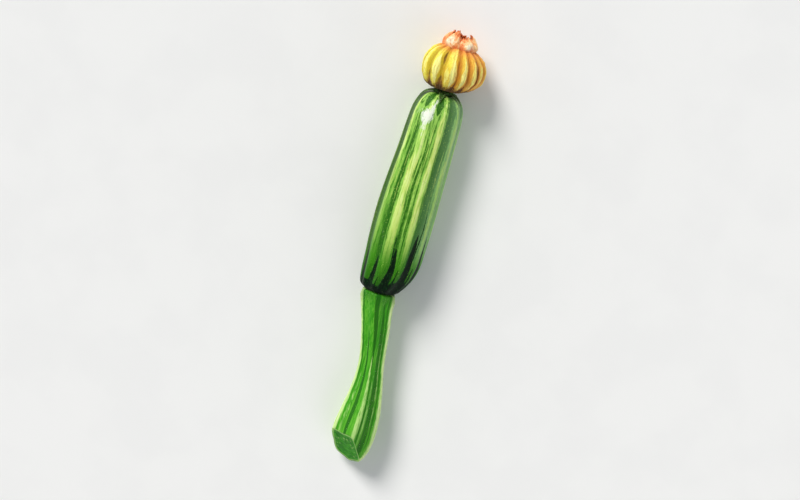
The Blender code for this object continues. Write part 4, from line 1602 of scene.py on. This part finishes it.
@dataclass
class Hairs:
    """Short, stiff hairs scattered over a green piece."""

    name: str
    slot: Slot
    count: int
    length: float
    seed: int
    thickness: float = 0.09 * MM
    rooted: float = 0.1 * MM
    slant: float = 0.28
    shortest: float = 0.5

    def form(self, mesh: bpy.types.Mesh) -> Form:
        """The hairs, three-sided and pointed, with their roots sunk in the piece; a cut face has none.

        Args:
            mesh: the piece's mesh, where it lies.

        Returns:
            All the hairs, each closed.
        """
        draw = np.random.default_rng(self.seed)
        points = np.array([v.co for v in mesh.vertices])
        normals = np.array([n.vector for n in mesh.vertex_normals])
        bare = np.zeros(len(points), dtype=np.float32)
        if Mark.CUT.value in mesh.attributes:
            mesh.attributes[Mark.CUT.value].data.foreach_get("value", bare)
        chosen = draw.choice(np.flatnonzero(bare == 0), self.count, replace=False)
        root, lean = points[chosen], normals[chosen] + draw.normal(0, self.slant, (self.count, 3))
        lean /= np.linalg.norm(lean, axis=1, keepdims=True)
        across = np.cross(lean, np.array([0.3, 0.9, 0.31]))
        across /= np.linalg.norm(across, axis=1, keepdims=True)
        over = np.cross(lean, across)
        length = self.length * draw.uniform(self.shortest, 1.0, (self.count, 1))
        corners = []
        for turn in range(3):
            angle = 2 * math.pi * turn / 3
            ring = across * math.cos(angle) + over * math.sin(angle)
            corners.append(root - self.rooted * lean + self.thickness / 2 * ring)
        stacked = np.stack([*corners, root + lean * length], axis=1).reshape(-1, 3)
        faces = []
        for number in range(self.count):
            a, b, c, d = range(4 * number, 4 * number + 4)
            faces += [(a, c, b), (a, b, d), (b, c, d), (c, a, d)]
        return Form(stacked, faces, {Mark.ALONG: np.tile([0.0, 0.0, 0.0, 1.0], self.count)})

    def build(self, piece: bpy.types.Object, material: bpy.types.Material) -> None:
        """Adds the hairs of a piece."""
        show(self.name, self.form(piece.data).mesh(self.name), material, None)


@dataclass(frozen=True)
class Lamp:
    """A far, soft light.

    Attributes:
        name: its name.
        way: the direction that it comes from.
        spread: how wide it looks, in degrees.
        power: its strength.
        colour: its red, green and blue.
    """

    name: str
    way: tuple[float, float, float]
    spread: float
    power: float
    colour: tuple[float, float, float]

    def build(self) -> None:
        """Adds the light."""
        data = bpy.data.lights.new(self.name, "SUN")
        data.angle = math.radians(self.spread)
        data.energy = self.power
        data.color = self.colour
        lamp = linked(self.name, data)
        lamp.location = Vector(self.way)
        lamp.rotation_mode = "QUATERNION"
        lamp.rotation_quaternion = (-Vector(self.way)).to_track_quat("-Z", "Y")


@dataclass
class Studio:
    """The pale surface, the soft lights and the camera over the courgette."""

    lean: float = math.radians(15.6)
    tilt: float = math.radians(12)
    distance: float = 1.7
    picture: tuple[int, int] = (800, 500)
    filled: float = 0.9
    sensor: float = 36.0
    nearest: float = 0.05
    farthest: float = 20.0
    floor_size: float = 6.0
    floor_cells: int = 40
    floor_gap: float = 0.05 * MM
    horizon: Colour = (0.93, 0.94, 0.95, 1.0)
    ceiling: Colour = (0.3, 0.31, 0.32, 1.0)
    lamps: tuple[Lamp, ...] = (
        Lamp("key", (-0.5, 0.62, 0.6), spread=24, power=2.7, colour=(1.0, 0.98, 0.95)),
        Lamp("fill", (0.8, -0.5, 0.7), spread=60, power=0.45, colour=(0.92, 0.96, 1.0)),
    )

    def surface(self) -> None:
        """Adds the surface that the courgette lies on."""
        mesh = bpy.data.meshes.new("surface")
        work = bmesh.new()
        cells = self.floor_cells
        bmesh.ops.create_grid(work, x_segments=cells, y_segments=cells, size=self.floor_size)
        work.to_mesh(mesh)
        work.free()
        mesh.materials.append(SurfaceFinish().material())
        floor = linked("surface", mesh)
        floor.location.z = CAD_BOX[0].z - self.floor_gap

    def room(self) -> None:
        """Adds the room's own light, which is pale at the horizon and dimmer overhead."""
        world = bpy.data.worlds.new("pale_room")
        world.use_nodes = True
        g = Graph(world.node_tree)
        way = g.add("ShaderNodeTexCoord").outputs["Generated"]
        height = Value(g, g.add("ShaderNodeSeparateXYZ", sockets={"Vector": way}).outputs["Z"])
        paint = Paint(g, self.horizon).over(height.eased(0.1, 0.4), self.ceiling)
        background = g.add("ShaderNodeBackground", sockets={"Color": paint, "Strength": 1.0})
        g.add("ShaderNodeOutputWorld", sockets={"Surface": background.outputs["Background"]})
        scene = bpy.context.scene
        scene.world = world
        scene.view_settings.view_transform = "Standard"

    def camera(self) -> None:
        """Adds the camera, which looks down on the courgette from a little towards its flower."""
        data = bpy.data.cameras.new("camera")
        camera = linked("camera", data)
        low, high = CAD_BOX
        back = Vector((0.0, math.sin(self.tilt), math.cos(self.tilt)))
        image_up = Vector((-math.sin(self.lean), math.cos(self.lean), 0.0))
        image_up = (image_up - back * image_up.dot(back)).normalized()
        turned = Matrix((image_up.cross(back), image_up, back)).transposed()
        camera.rotation_mode = "QUATERNION"
        camera.rotation_quaternion = turned.to_quaternion()
        camera.location = (low + high) / 2 + back * self.distance
        long, broad = high.y - low.y, high.x - low.x
        tall = long * math.cos(self.lean) * math.cos(self.tilt) + broad * math.sin(self.lean)
        wide = tall / self.filled * self.picture[0] / self.picture[1]
        data.sensor_width = self.sensor
        data.lens = self.sensor * self.distance / wide
        data.clip_start, data.clip_end = self.nearest, self.farthest
        bpy.context.scene.camera = camera

    def build(self) -> None:
        """Adds all of it."""
        self.surface()
        self.room()
        for lamp in self.lamps:
            lamp.build()
        self.camera()


def main() -> None:
    """Builds the courgette and its studio."""
    logging.basicConfig(level=logging.INFO, format="%(name)s %(message)s")
    Studio().build()
    fruit = Fruit()
    laying = fruit.build()
    stalk = Stalk().build(laying, fruit.dimple_floor)
    calyx = Calyx().build(laying, fruit)
    Corolla().build(laying, fruit)
    hair = HairFinish().material()
    Hairs("stalk_hairs", Slot.STALK, count=900, length=0.9 * MM, seed=1).build(stalk, hair)
    for seed, piece in enumerate(calyx, start=10):
        Hairs(f"{piece.name}_hairs", Slot.CALYX, count=60, length=0.8 * MM, seed=seed).build(piece, hair)


if __name__ == "__main__":
    main()
